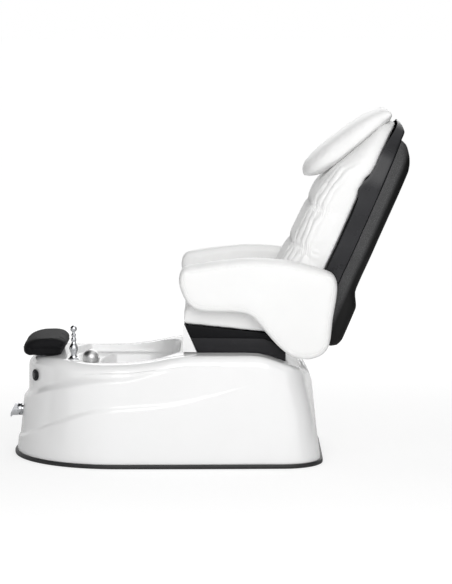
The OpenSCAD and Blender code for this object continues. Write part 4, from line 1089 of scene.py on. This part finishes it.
def pleats(points, out, pitch, deep):
    """Sinks soft vertical pleats into a back cushion, gathered at two lines across it."""
    x, t, s = back_coordinates(points)
    w, rear, front = (along(s, line) for line in CUSHION_LINES)
    r = np.minimum(CORNER_ROUND, 0.6 * (rear - front))
    flat = np.maximum(w - r, 1)
    turn = np.arctan2(np.maximum(np.abs(x) - flat, 0), np.maximum(front + r - t, 1e-3))
    arc = np.minimum(np.abs(x), flat) + r * np.clip(turn, 0, math.pi / 2)
    away = np.min([np.abs(s - g) for g in GATHER_LINES], axis=0)
    wander = 3.5 * np.sin(s / 31 + np.floor(arc / pitch) * 2.1) + 2.0 * np.sin(s / 13 + arc / 40)
    phase = (arc + wander) / pitch * 2 * math.pi
    ridge = (0.5 - 0.5 * np.cos(phase)) ** 0.45
    uneven = 0.75 + 0.25 * np.sin(np.floor((arc + wander) / pitch) * 1.7 + 0.6)
    # No pleat reaches the shell behind or the foot of the cushion.
    fade = smooth_step((rear - 34 - t) / 50) * smooth_step((s - 8) / 40)
    depth = along(s, PLEAT_DEPTH) * deep * uneven * (1 - 0.45 * bell(away, 12))
    forward = smooth_step((front + 95 - t) / 80)
    sunk = depth * (1 - ridge) * fade * (0.12 + 0.88 * forward)
    gather = (4.5 * bell(away, 9) + 4 * bell(away, 26)) * fade * (0.08 + 0.92 * forward)
    tucks = 2.0 * np.sin(arc / pitch * 6 * math.pi + s / 9) * bell(away, 24) * fade
    return points - out * (sunk + gather + tucks)[:, None]


def build_back_cushion(pitch, deep):
    """White back pad: full rounded corners, vertical pleats, two gathered lines, plain top."""
    rings = []
    for s in steps((0, 60, 9), (70, 780, 72), (786, 838, 12)):
        w, rear, front = (float(along(s, line)) for line in CUSHION_LINES)
        h = rear - front
        r = min(CORNER_ROUND, 0.6 * h)
        section = pad_section(w - 1, 0, h, r, crown=2, arc=16, flat=14)
        rings.append(back_place(section[:, 0], rear - section[:, 1], s))
    pad = loft("back_pad", rings)
    swell(pad, cap=7.0, voxel=6.0)
    points, out = points_mm(pad), normals(pad)
    points = pleats(points, out, pitch, deep)
    x, t, up = back_coordinates(points)
    side = smooth_step((np.abs(x) - 170) / 50) * smooth_step((700 - up) / 120)
    # Creases on the sides, away from the shell's edge.
    clear = smooth_step((along(up, SIDE_FRONT) - 12 - t) / 40)
    rough = crinkle(points, out, depth=1.6, scale=9, squeeze=(1, 1, 2.5))
    points = points + (rough - points) * ((0.35 + 0.65 * side) * clear)[:, None]
    x, t, up = back_coordinates(points)
    # The rear stays flat, and what lies in the shell stays inside its walls.
    shut = along(up, CUSHION_REAR) + 0.5
    edge = along(up, HALF_W_LINE) - SHELL_WALL - 1.5
    behind = t > along(up, SIDE_FRONT) - 3
    x = np.where(behind, np.clip(x, -edge, edge), x)
    set_points(pad, back_place(x, np.minimum(t, shut), up))
    dress(smooth_shading(pad), "seat_unit", "white_vinyl", "back_cushion")


# The pillow's side outline, as [behind the foot line, up the back] places.
PILLOW_POINTS = [
    (-275, 490), (-290, 520), (-285, 552), (-256, 624), (-208, 711), (-156, 793), (-103, 854),
    (-76, 871), (-54, 866), (-45.6, 847.2), (-69, 809.5), (-101, 746), (-144, 656), (-188, 573),
    (-214, 530), (-247, 498),
]
# Rows of: share of the half width, and how far the outline is drawn in along and across.
PILLOW_HALF = [
    (0, 0, 0), (0.3, 0.014, 0.02), (0.55, 0.045, 0.06), (0.75, 0.095, 0.15), (0.88, 0.16, 0.27),
    (0.955, 0.225, 0.46), (0.99, 0.275, 0.68), (1, 0.31, 0.84),
]
PILLOW_MID = np.array([-60.0, 858.0])
PILLOW_ALONG = np.array([143.0, 285.0]) / math.hypot(143, 285)


def pillow_ring(share, short, thin):
    """Outline of the pillow at a share of its half width, drawn in along and across."""
    across = np.array([PILLOW_ALONG[1], -PILLOW_ALONG[0]])
    d = closed_curve(PILLOW_POINTS, 6) - PILLOW_MID
    q = PILLOW_MID + np.outer(d @ PILLOW_ALONG, PILLOW_ALONG) * (1 - short)
    q = q + np.outer(d @ across, across) * (1 - thin)
    return back_place(np.full(len(q), share * PILLOW_HALF_W), q[:, 0], q[:, 1])


def build_pillow():
    """White head pillow: one soft lens, full in front and flat where it lies on the back."""
    right = [pillow_ring(*row) for row in even(PILLOW_HALF, 30)]
    rings = [ring * [-1, 1, 1] for ring in right[:0:-1]] + right
    pillow = loft("head_pillow_pad", rings)
    centre = points_mm(pillow).mean(0)
    set_points(pillow, centre + (points_mm(pillow) - centre) * 0.99)
    swell(pillow, cap=4.0, voxel=5.0)
    points, out = points_mm(pillow), normals(pillow)
    x, _, s = back_coordinates(points)
    foot = smooth_step((640 - s) / 140) * smooth_step((np.abs(x) - 60) / 70)
    puckered = crinkle(points, out, depth=1.5, scale=14)
    points = points + (puckered - points) * (0.15 + 0.85 * foot)[:, None]
    set_points(pillow, points)
    dress(smooth_shading(pillow), "seat_unit", "white_vinyl", "head_pillow")


def nearest(targets, points):
    """Distance from each point to the nearest target."""
    tree = kdtree.KDTree(len(targets))
    for i, p in enumerate(targets):
        tree.insert(p, i)
    tree.balance()
    return np.array([tree.find(p)[2] for p in points])


# ---------------------------------------------------------------- arms

# The arm's side outline, as [y, z] places.
ARM_POINTS = [
    (-110, 735), (-97, 680), (-72, 636), (-30, 612), (40, 605), (120, 602), (178, 584),
    (232, 524), (285, 467), (332, 431), (375, 418), (418, 419), (462, 439), (487, 480),
    (498, 570), (512, 665), (514, 722), (494, 760), (430, 783), (340, 806), (250, 817),
    (160, 820), (60, 811), (-30, 797), (-92, 783),
]
ARM_MID = np.array([320.0, 655.0])
ARM_SEAM_IN = 19
ARM_DROP = 10


def arm_ring(x, d, drop, share=1.0):
    """Outline of the arm at x, drawn in by d, with its top dropped, shrunk to a share."""
    q = inset(closed_curve(ARM_POINTS, 6), d)
    q[:, 1] -= drop * np.clip((q[:, 1] - 640) / 180, 0, 1)
    q = ARM_MID + (q - ARM_MID) * share
    return np.column_stack([np.full(len(q), x), q])


def arm_seam():
    """Line of the seam round the arm's outside face."""
    return arm_ring(ARM_X1 - 3.4, ARM_SEAM_IN + 1, ARM_DROP)


def build_arms():
    """White padded arms: soft inside, boxed outside with a sewn face panel."""
    x0, x1, drop = ARM_X0, ARM_X1, ARM_DROP
    profile = even([
        (x0, 24, 0), (x0 + 3, 11, 0), (x0 + 9, 3, 0), (x0 + 20, 0, 0), (x0 + 46, -1, 2),
        (x1 - 24, 0, 6), (x1 - 14, 4, 9), (x1 - 8, 9, drop), (x1 - 6, 13, drop),
        (x1 - 4, ARM_SEAM_IN, drop),
    ], 40)
    face = [(x1 - 4 + 4 * (1 - share), share) for share in (0.96, 0.85, 0.7, 0.5, 0.3)]
    rings = [arm_ring(x0, 24, 0, share) for share in (0.3, 0.55, 0.8, 0.93)]
    rings += [arm_ring(*row) for row in profile]
    rings += [arm_ring(x, ARM_SEAM_IN, drop, share) for x, share in face]
    arm = loft("arm_pad_left", rings, [x0, *ARM_MID], [x1, *ARM_MID])
    points = points_mm(arm)
    centre = points.mean(0)
    set_points(arm, points + (centre - points) * [0.03, 0.006, 0.006])
    swell(arm, cap=3.0, voxel=5.0)
    points, out = points_mm(arm), normals(arm)
    points = points - out * (1.8 * bell(nearest(arm_seam(), points), 4.5))[:, None]
    points = crinkle(points, out, depth=0.7, scale=7)
    set_points(arm, points)
    keep_inside(arm, ARM_LOW, ARM_HIGH)
    smooth_shading(arm)
    right = mirrored(arm, "arm_pad_right")
    for pad, node in ((arm, "arm_left"), (right, "arm_right")):
        dress(pad, "seat_unit", "white_vinyl", node)


# ---------------------------------------------------------------- seams, laid by geometry nodes


def add_input(tree, name, kind, default=None):
    made = tree.interface.new_socket(name=name, in_out="INPUT", socket_type=kind)
    if default is not None:
        made.default_value = default


def piping_tree(name, material, thread_material):
    """Node tree that turns a polyline into a piped seam with a row of stitches beside it."""
    tree = bpy.data.node_groups.new(name, "GeometryNodeTree")
    add_input(tree, "Geometry", "NodeSocketGeometry")
    for title, default in (
        ("Pipe radius", 1.6), ("Stitch length", 4.5), ("Stitch pitch", 7.0), ("Stitch radius", 0.55)
    ):
        add_input(tree, title, "NodeSocketFloat", default * MM)
    tree.interface.new_socket(name="Geometry", in_out="OUTPUT", socket_type="NodeSocketGeometry")
    given = add_node(tree, "NodeGroupInput").outputs

    def add(kind, inputs, **settings):
        return output_of(tree, f"GeometryNode{kind}", inputs, **settings)

    def number(operation, a, b):
        return output_of(tree, "ShaderNodeMath", {0: a, 1: b}, operation=operation)

    curve = add("MeshToCurve", {0: given["Geometry"]})
    finer = add("ResampleCurve", {"Curve": curve, "Length": 3.0 * MM}, mode="LENGTH")
    profile = add("CurvePrimitiveCircle", {"Resolution": 10, "Radius": given["Pipe radius"]})
    pipe = add("CurveToMesh", {"Curve": finer, "Profile Curve": profile})
    piped = add("SetMaterial", {"Geometry": pipe, "Material": material})
    marks = add("CurveToPoints", {"Length": given["Stitch pitch"], "Curve": curve}, mode="LENGTH")
    stitch = add("MeshUVSphere", {"Segments": 8, "Rings": 6, "Radius": given["Stitch radius"]})
    ratio = number("DIVIDE", given["Stitch length"], given["Stitch radius"])
    stretch = {0: 1.0, 1: 1.0, 2: number("MULTIPLY", ratio, 0.5)}
    placed = add("InstanceOnPoints", {
        "Points": marks,
        "Instance": stitch,
        "Rotation": output_of(
            tree, "FunctionNodeAlignRotationToVector", {"Vector": marks.node.outputs["Tangent"]},
            axis="Z",
        ),
        "Scale": output_of(tree, "ShaderNodeCombineXYZ", stretch),
    })
    sewn = add("SetMaterial", {
        "Geometry": add("RealizeInstances", {0: placed}), "Material": thread_material
    })
    both = add("JoinGeometry", {0: piped})
    tree.links.new(sewn, both.node.inputs[0])
    add_node(tree, "NodeGroupOutput", None, {0: add("SetShadeSmooth", {0: both})})
    return tree


def lay_seam(name, lines, tree, body, sizes, closed=True):
    """Runs a seam tree along polylines, in millimetres, and keeps the result as one mesh."""
    points, edges = [], []
    for line in lines:
        start, n = len(points), len(line)
        points += [tuple(p) for p in np.asarray(line) * MM]
        edges += [(start + i, start + (i + 1) % n) for i in range(n if closed else n - 1)]
    mesh = bpy.data.meshes.new(name)
    mesh.from_pydata(points, edges, [])
    obj = bpy.data.objects.new(name, mesh)
    bpy.context.scene.collection.objects.link(obj)
    modifier = obj.modifiers.new("Seam", "NODES")
    modifier.node_group = tree
    for item in tree.interface.items_tree:
        if item.name in sizes:
            modifier[item.identifier] = sizes[item.name]
    bake(obj)
    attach(obj, body)


def on_surface(obj, line, lift):
    """Moves a line of points onto a piece's surface, lifted a little, in millimetres."""
    out = []
    for p in np.asarray(line, float):
        _, place, normal, _ = obj.closest_point_on_mesh(Vector(p * MM))
        out.append(np.array(place) / MM + np.array(normal) * lift)
    return np.array(out)


def build_seams(pitch):
    """Piping round the arms' faces and the footrest, stitches along the seat's channels."""
    white = piping_tree("PipedSeam", MATERIALS["white_vinyl"], MATERIALS["seam_thread"])
    black = piping_tree("BlackSeam", MATERIALS["black_vinyl"], MATERIALS["black_thread"])
    objects = bpy.data.objects
    piping = {"Pipe radius": 1.7 * MM, "Stitch pitch": pitch}
    stitches = {"Pipe radius": 0.5 * MM, "Stitch pitch": pitch}
    line = on_surface(objects["arm_pad_left"], arm_seam(), 0.2)
    lines = [line, line * [-1, 1, 1]]
    lay_seam("arm_piping", lines, white, "seat_unit", piping)
    low, high = box_mm("footrest_pad")
    a = np.radians(np.arange(0, 360, 4.0))
    x = (high[0] + 2) * squared(np.cos(a))
    y = (low[1] + high[1]) / 2 + ((high[1] - low[1]) / 2 + 2) * squared(np.sin(a))
    ring = at_height(np.column_stack([x, y]), low[2] + BOLSTER_SEAM * (high[2] - low[2]))
    lines = [on_surface(objects["footrest"], ring, -0.2)]
    lay_seam("footrest_piping", lines, black, "base", piping)
    x = np.linspace(-SEAT_HALF_W + 12, SEAT_HALF_W - 12, 80)
    lines = [
        on_surface(objects["seat_pad"], at_height(np.column_stack([x, 0 * x + y]), SEAT_H), 0.1)
        for y in SEAT_CHANNELS
    ]
    lay_seam("seat_stitches", lines, white, "seat_unit", stitches, closed=False)


# ---------------------------------------------------------------- rigid pieces kept or rounded


def round_off(angle, *rows):
    """Keeps CAD nodes as smooth pieces whose edges sharper than angle are rounded."""
    for node, name, body, slot, finish, bevel in rows:
        dress(merged_copy(node, name, bevel, angle), body, slot, node, finish=finish)


def build_covers():
    """Charcoal covers and the white skirt under the seat, with moulded edges."""
    round_off(
        35,
        ("base_cover", "base_cover_moulding", "base", "charcoal_cover", None, 0.5),
        # The seat pan takes the darker copy of the cover finish, with painted shade.
        ("seat_pan", "seat_pan_moulding", "seat_unit", "charcoal_cover", "black_pan", 1.2),
        ("front_skirt", "front_skirt_moulding", "seat_unit", "white_gelcoat", None, 1.8),
    )


def build_fittings():
    """Chrome fittings, the button and its ring, with rounded edges."""
    round_off(
        30,
        ("spout", "spout_dome", "base", "chrome", "satin_chrome", 1.2),
        ("shower_socket", "shower_collar", "base", "chrome", None, 0.5),
        ("hand_shower", "hand_shower_handle", "hand_shower", "chrome", None, 0.5),
        ("button_bezel", "button_ring", "base", "black_moulding", None, 1.6),
        ("air_button", "button_cap", "air_button", "gloss_black", None, 1.4),
        ("mixer_body", "mixer_flange", "base", "chrome", None, 1.0),
        ("mixer_cap", "mixer_disc", "mixer_cap", "chrome", None, 1.2),
        ("mixer_lever", "mixer_handle", "mixer_lever", "chrome", None, 1.4),
        ("basin_jets", "jet_noses", "base", "chrome", None, 1.2),
        ("suction_cover", "suction_grille", "base", "chrome", None, 0.8),
        ("drain_fitting", "drain_flange", "base", "chrome", None, 0.8),
        ("drain_plug", "drain_stopper", "drain_plug", "chrome", None, 0.8),
    )
    shortened(bpy.data.objects["button_cap"], "button_press", 4.6)


def finish_frame():
    """Gives every CAD node that still shows its own finish."""
    slots = {part["node"]: part["material_slot"] for part in frame["record"]["subparts"]}
    for name, node in NODES.items():
        node.data.materials.clear()
        node.data.materials.append(MATERIALS[slots[name]])


# ---------------------------------------------------------------- studio


WHITE = (1, 1, 1, 1)
SENSOR = 36.0
FOCUS_PX, PICTURE_H_PX = 2412.5, 584
CAMERA_PLACE = (9.65, 0.0775, 1.8337)
CAMERA_DOWN = 7
LAMP_PLACE, LAMP_AIM = (4.4, 0.4, 2.6), (0, 0.1, 0.7)
LAMP_SIZE = (3.2, 2.4)
KEY_POWER, FILL_POWER = 82, 42


def grey(level):
    return (level, level, level, 1)


def ray_share(tree, *kinds):
    """1 where the ray is of one of the kinds, such as Is Camera Ray."""
    path = add_node(tree, "ShaderNodeLightPath").outputs
    share = path[kinds[0]]
    for kind in kinds[1:]:
        share = output_of(tree, "ShaderNodeMath", {0: share, 1: path[kind]}, operation="MAXIMUM")
    return share


def seen_apart(tree, output, plain, seen, *kinds):
    """Ends a tree in its plain surface, or in another where rays of the kinds see it."""
    mix = output_of(
        tree, "ShaderNodeMixShader", {0: ray_share(tree, *kinds), 1: plain, 2: seen}
    )
    add_node(tree, output, None, {"Surface": mix})


def build_world(level):
    """Even soft light, and a plain white backdrop for what is seen directly or by reflection."""
    world = bpy.data.worlds.new("Studio")
    bpy.context.scene.world = world
    world.use_nodes = True
    tree = world.node_tree
    tree.nodes.clear()
    light = output_of(tree, "ShaderNodeBackground", {"Color": WHITE, "Strength": level})
    seen = output_of(tree, "ShaderNodeBackground", {"Color": WHITE, "Strength": 1.0})
    seen_apart(
        tree, "ShaderNodeOutputWorld", light, seen,
        "Is Camera Ray", "Is Glossy Ray", "Is Transmission Ray",
    )


def stage_material(name):
    material = bpy.data.materials.new(name)
    material.use_nodes = True
    material.node_tree.nodes.clear()
    return material


def stage_sheet(name, corners, material):
    """A four-cornered sheet of the stage, in millimetres."""
    obj = new_object(name, corners, [(0, 1, 2, 3)])
    obj.data.materials.append(material)


def build_floor():
    """White floor that keeps the object's shadow and has no edge against the backdrop."""
    half = 120e3
    material = stage_material("floor_paper")
    tree = material.node_tree
    place = add_node(tree, "ShaderNodeTexCoord").outputs["Object"]
    tooth = output_of(tree, "ShaderNodeTexNoise", {"Vector": place, "Scale": 60.0, "Detail": 3.0})
    bump = output_of(tree, "ShaderNodeBump", {"Height": tooth, "Distance": 0.05 * MM})
    paper = output_of(tree, "ShaderNodeBsdfDiffuse", {"Color": grey(0.9), "Normal": bump})
    shaded = output_of(tree, "ShaderNodeBsdfDiffuse", {"Color": grey(0.34)})
    glow = output_of(tree, "ShaderNodeEmission", {"Color": WHITE, "Strength": 0.72})
    seen = output_of(tree, "ShaderNodeAddShader", {0: shaded, 1: glow})
    seen_apart(tree, "ShaderNodeOutputMaterial", paper, seen, "Is Camera Ray")
    corners = [[-half, -half, -1], [half, -half, -1], [half, half, -1], [-half, half, -1]]
    stage_sheet("floor", corners, material)


def build_flags():
    """Dark cloths before and behind the set, which shade its ends and don't show."""
    material = stage_material("flag_cloth")
    tree = material.node_tree
    cloth = output_of(tree, "ShaderNodeBsdfDiffuse", {"Color": grey(0.02)})
    clear = output_of(tree, "ShaderNodeBsdfTransparent")
    seen_apart(tree, "ShaderNodeOutputMaterial", cloth, clear, "Is Camera Ray")
    for name, x0, x1, y, lean, foot, top in (
        ("flag_front", -1500, 1500, -2200, 1700, 700, 3400),
        ("flag_low", 350, 1150, -1900, 0, 60, 700),
        ("flag_rear", -1500, 1500, 2300, -500, 100, 2900),
    ):
        corners = [[x0, y, foot], [x1, y, foot], [x1, y + lean, top], [x0, y + lean, top]]
        stage_sheet(name, corners, material)


def area_light(name, side, power):
    """Broad lamp beside the chair, turned towards it."""
    data = bpy.data.lights.new(name, "AREA")
    data.shape = "RECTANGLE"
    data.size, data.size_y = LAMP_SIZE
    data.energy = power
    light = bpy.data.objects.new(name, data)
    bpy.context.scene.collection.objects.link(light)
    place = Vector(LAMP_PLACE) * Vector((side, 1, 1))
    light.location = place
    aim = Vector(LAMP_AIM) - place
    light.rotation_euler = aim.to_track_quat("-Z", "Y").to_euler()


def build_camera():
    """Long lens at the chair's left, looking a little down."""
    data = bpy.data.cameras.new("Camera")
    data.sensor_width = SENSOR
    data.lens = FOCUS_PX / PICTURE_H_PX * SENSOR
    camera = bpy.data.objects.new("Camera", data)
    bpy.context.scene.collection.objects.link(camera)
    camera.location = CAMERA_PLACE
    camera.rotation_euler = (math.radians(90 - CAMERA_DOWN), 0, math.radians(90))
    data.clip_end = 100
    bpy.context.scene.camera = camera


def build_stage(level):
    bpy.context.scene.view_settings.view_transform = "Standard"
    build_camera()
    build_world(level)
    build_floor()
    build_flags()
    area_light("key", 1, KEY_POWER)
    area_light("fill", -1, FILL_POWER)


# ---------------------------------------------------------------- add-on


class ChairSizes(bpy.types.PropertyGroup):
    pleat_pitch: bpy.props.FloatProperty(
        name="Pleat pitch", description="Distance from one back pleat to the next",
        default=0.030, min=0.02, max=0.05, subtype="DISTANCE", unit="LENGTH",
    )
    pleat_depth: bpy.props.FloatProperty(
        name="Pleat depth", description="Depth of the pleats as a share of the usual",
        default=1.0, min=0.0, max=1.5, subtype="FACTOR",
    )
    stitch_pitch: bpy.props.FloatProperty(
        name="Stitch pitch", description="Distance from one stitch to the next",
        default=0.007, min=0.004, max=0.012, subtype="DISTANCE", unit="LENGTH",
    )
    light_level: bpy.props.FloatProperty(
        name="Light level", description="Strength of the studio's even light", default=0.84,
        min=0.1, max=1.5,
    )


def colour_property(name, description, value):
    return bpy.props.FloatVectorProperty(
        name=name, description=description, default=value, size=3, subtype="COLOR", min=0, max=1
    )


class ChairColours(bpy.types.PropertyGroup):
    shell: colour_property("Shell", "Moulded tub and skirt", (0.92, 0.92, 0.92))
    upholstery: colour_property("Upholstery", "Seat, back, arms and pillow", (0.92, 0.92, 0.915))
    footrest: colour_property("Footrest", "Footrest bolster", (0.012, 0.012, 0.013))
    side_shell: colour_property("Side shell", "Shell beside the back", (0.016, 0.016, 0.018))
    rear_shell: colour_property("Rear shell", "Shell behind the back", (0.052, 0.052, 0.053))
    cover: colour_property("Covers", "Covers under the seat", (0.011, 0.011, 0.013))


class CHAIR_OT_stage(bpy.types.Operator):
    """Make the camera, lights, floor and backdrop"""

    bl_idname = "chair.stage"
    bl_label = "Stage"

    def execute(self, context):
        build_stage(context.scene.chair_sizes.light_level)
        return {"FINISHED"}


class CHAIR_OT_finishes(bpy.types.Operator):
    """Make every finish and give the frame's pieces theirs"""

    bl_idname = "chair.finishes"
    bl_label = "Finishes"

    def execute(self, context):
        make_materials(context.scene.chair_colours)
        finish_frame()
        return {"FINISHED"}


class CHAIR_OT_tub(bpy.types.Operator):
    """Mould the white tub and the pad on its deck"""

    bl_idname = "chair.tub"
    bl_label = "Tub"

    def execute(self, context):
        build_tub()
        build_shower_pad()
        return {"FINISHED"}


class CHAIR_OT_trim(bpy.types.Operator):
    """Run the rubber trim round the foot"""

    bl_idname = "chair.trim"
    bl_label = "Foot trim"

    def execute(self, context):
        build_trim()
        return {"FINISHED"}


class CHAIR_OT_footrest(bpy.types.Operator):
    """Upholster the footrest"""

    bl_idname = "chair.footrest"
    bl_label = "Footrest"

    def execute(self, context):
        build_footrest()
        return {"FINISHED"}


class CHAIR_OT_back_shells(bpy.types.Operator):
    """Mould the side and rear shells of the back"""

    bl_idname = "chair.back_shells"
    bl_label = "Back shells"

    def execute(self, context):
        build_side_shell()
        build_rear_shell()
        return {"FINISHED"}


class CHAIR_OT_covers(bpy.types.Operator):
    """Round the covers under the seat"""

    bl_idname = "chair.covers"
    bl_label = "Covers"

    def execute(self, context):
        build_covers()
        return {"FINISHED"}


class CHAIR_OT_seat_cushion(bpy.types.Operator):
    """Upholster the seat"""

    bl_idname = "chair.seat_cushion"
    bl_label = "Seat cushion"

    def execute(self, context):
        build_seat_cushion()
        return {"FINISHED"}


class CHAIR_OT_back_cushion(bpy.types.Operator):
    """Upholster the pleated back"""

    bl_idname = "chair.back_cushion"
    bl_label = "Back cushion"

    def execute(self, context):
        sizes = context.scene.chair_sizes
        build_back_cushion(sizes.pleat_pitch / MM, sizes.pleat_depth)
        return {"FINISHED"}


class CHAIR_OT_pillow(bpy.types.Operator):
    """Sew the head pillow"""

    bl_idname = "chair.pillow"
    bl_label = "Head pillow"

    def execute(self, context):
        build_pillow()
        return {"FINISHED"}


class CHAIR_OT_arms(bpy.types.Operator):
    """Upholster both arms"""

    bl_idname = "chair.arms"
    bl_label = "Arms"

    def execute(self, context):
        build_arms()
        return {"FINISHED"}


class CHAIR_OT_seams(bpy.types.Operator):
    """Lay piping and stitches"""

    bl_idname = "chair.seams"
    bl_label = "Seams"

    def execute(self, context):
        build_seams(context.scene.chair_sizes.stitch_pitch)
        return {"FINISHED"}


class CHAIR_OT_fittings(bpy.types.Operator):
    """Round the chrome fittings and the button"""

    bl_idname = "chair.fittings"
    bl_label = "Fittings"

    def execute(self, context):
        build_fittings()
        return {"FINISHED"}


STEPS = (
    CHAIR_OT_stage, CHAIR_OT_finishes, CHAIR_OT_tub, CHAIR_OT_trim, CHAIR_OT_footrest,
    CHAIR_OT_back_shells, CHAIR_OT_covers, CHAIR_OT_seat_cushion, CHAIR_OT_back_cushion,
    CHAIR_OT_pillow, CHAIR_OT_arms, CHAIR_OT_seams, CHAIR_OT_fittings,
)


class CHAIR_PT_panel(bpy.types.Panel):
    """Lists the steps of dressing the chair"""

    bl_idname = "CHAIR_PT_panel"
    bl_label = "Spa Chair"
    bl_space_type = "VIEW_3D"
    bl_region_type = "UI"
    bl_category = "Spa Chair"

    def draw(self, context):
        for group in (context.scene.chair_sizes, context.scene.chair_colours):
            for name in group.__annotations__:
                self.layout.prop(group, name)
        for step in STEPS:
            self.layout.operator(step.bl_idname)


CLASSES = (ChairSizes, ChairColours, *STEPS, CHAIR_PT_panel)


def register():
    for cls in CLASSES:
        bpy.utils.register_class(cls)
    bpy.types.Scene.chair_sizes = bpy.props.PointerProperty(type=ChairSizes)
    bpy.types.Scene.chair_colours = bpy.props.PointerProperty(type=ChairColours)


def unregister():
    del bpy.types.Scene.chair_colours
    del bpy.types.Scene.chair_sizes
    for cls in reversed(CLASSES):
        bpy.utils.unregister_class(cls)


def main():
    register()
    for step in STEPS:
        group, name = step.bl_idname.split(".")
        getattr(getattr(bpy.ops, group), name)()


if __name__ == "__main__":
    main()
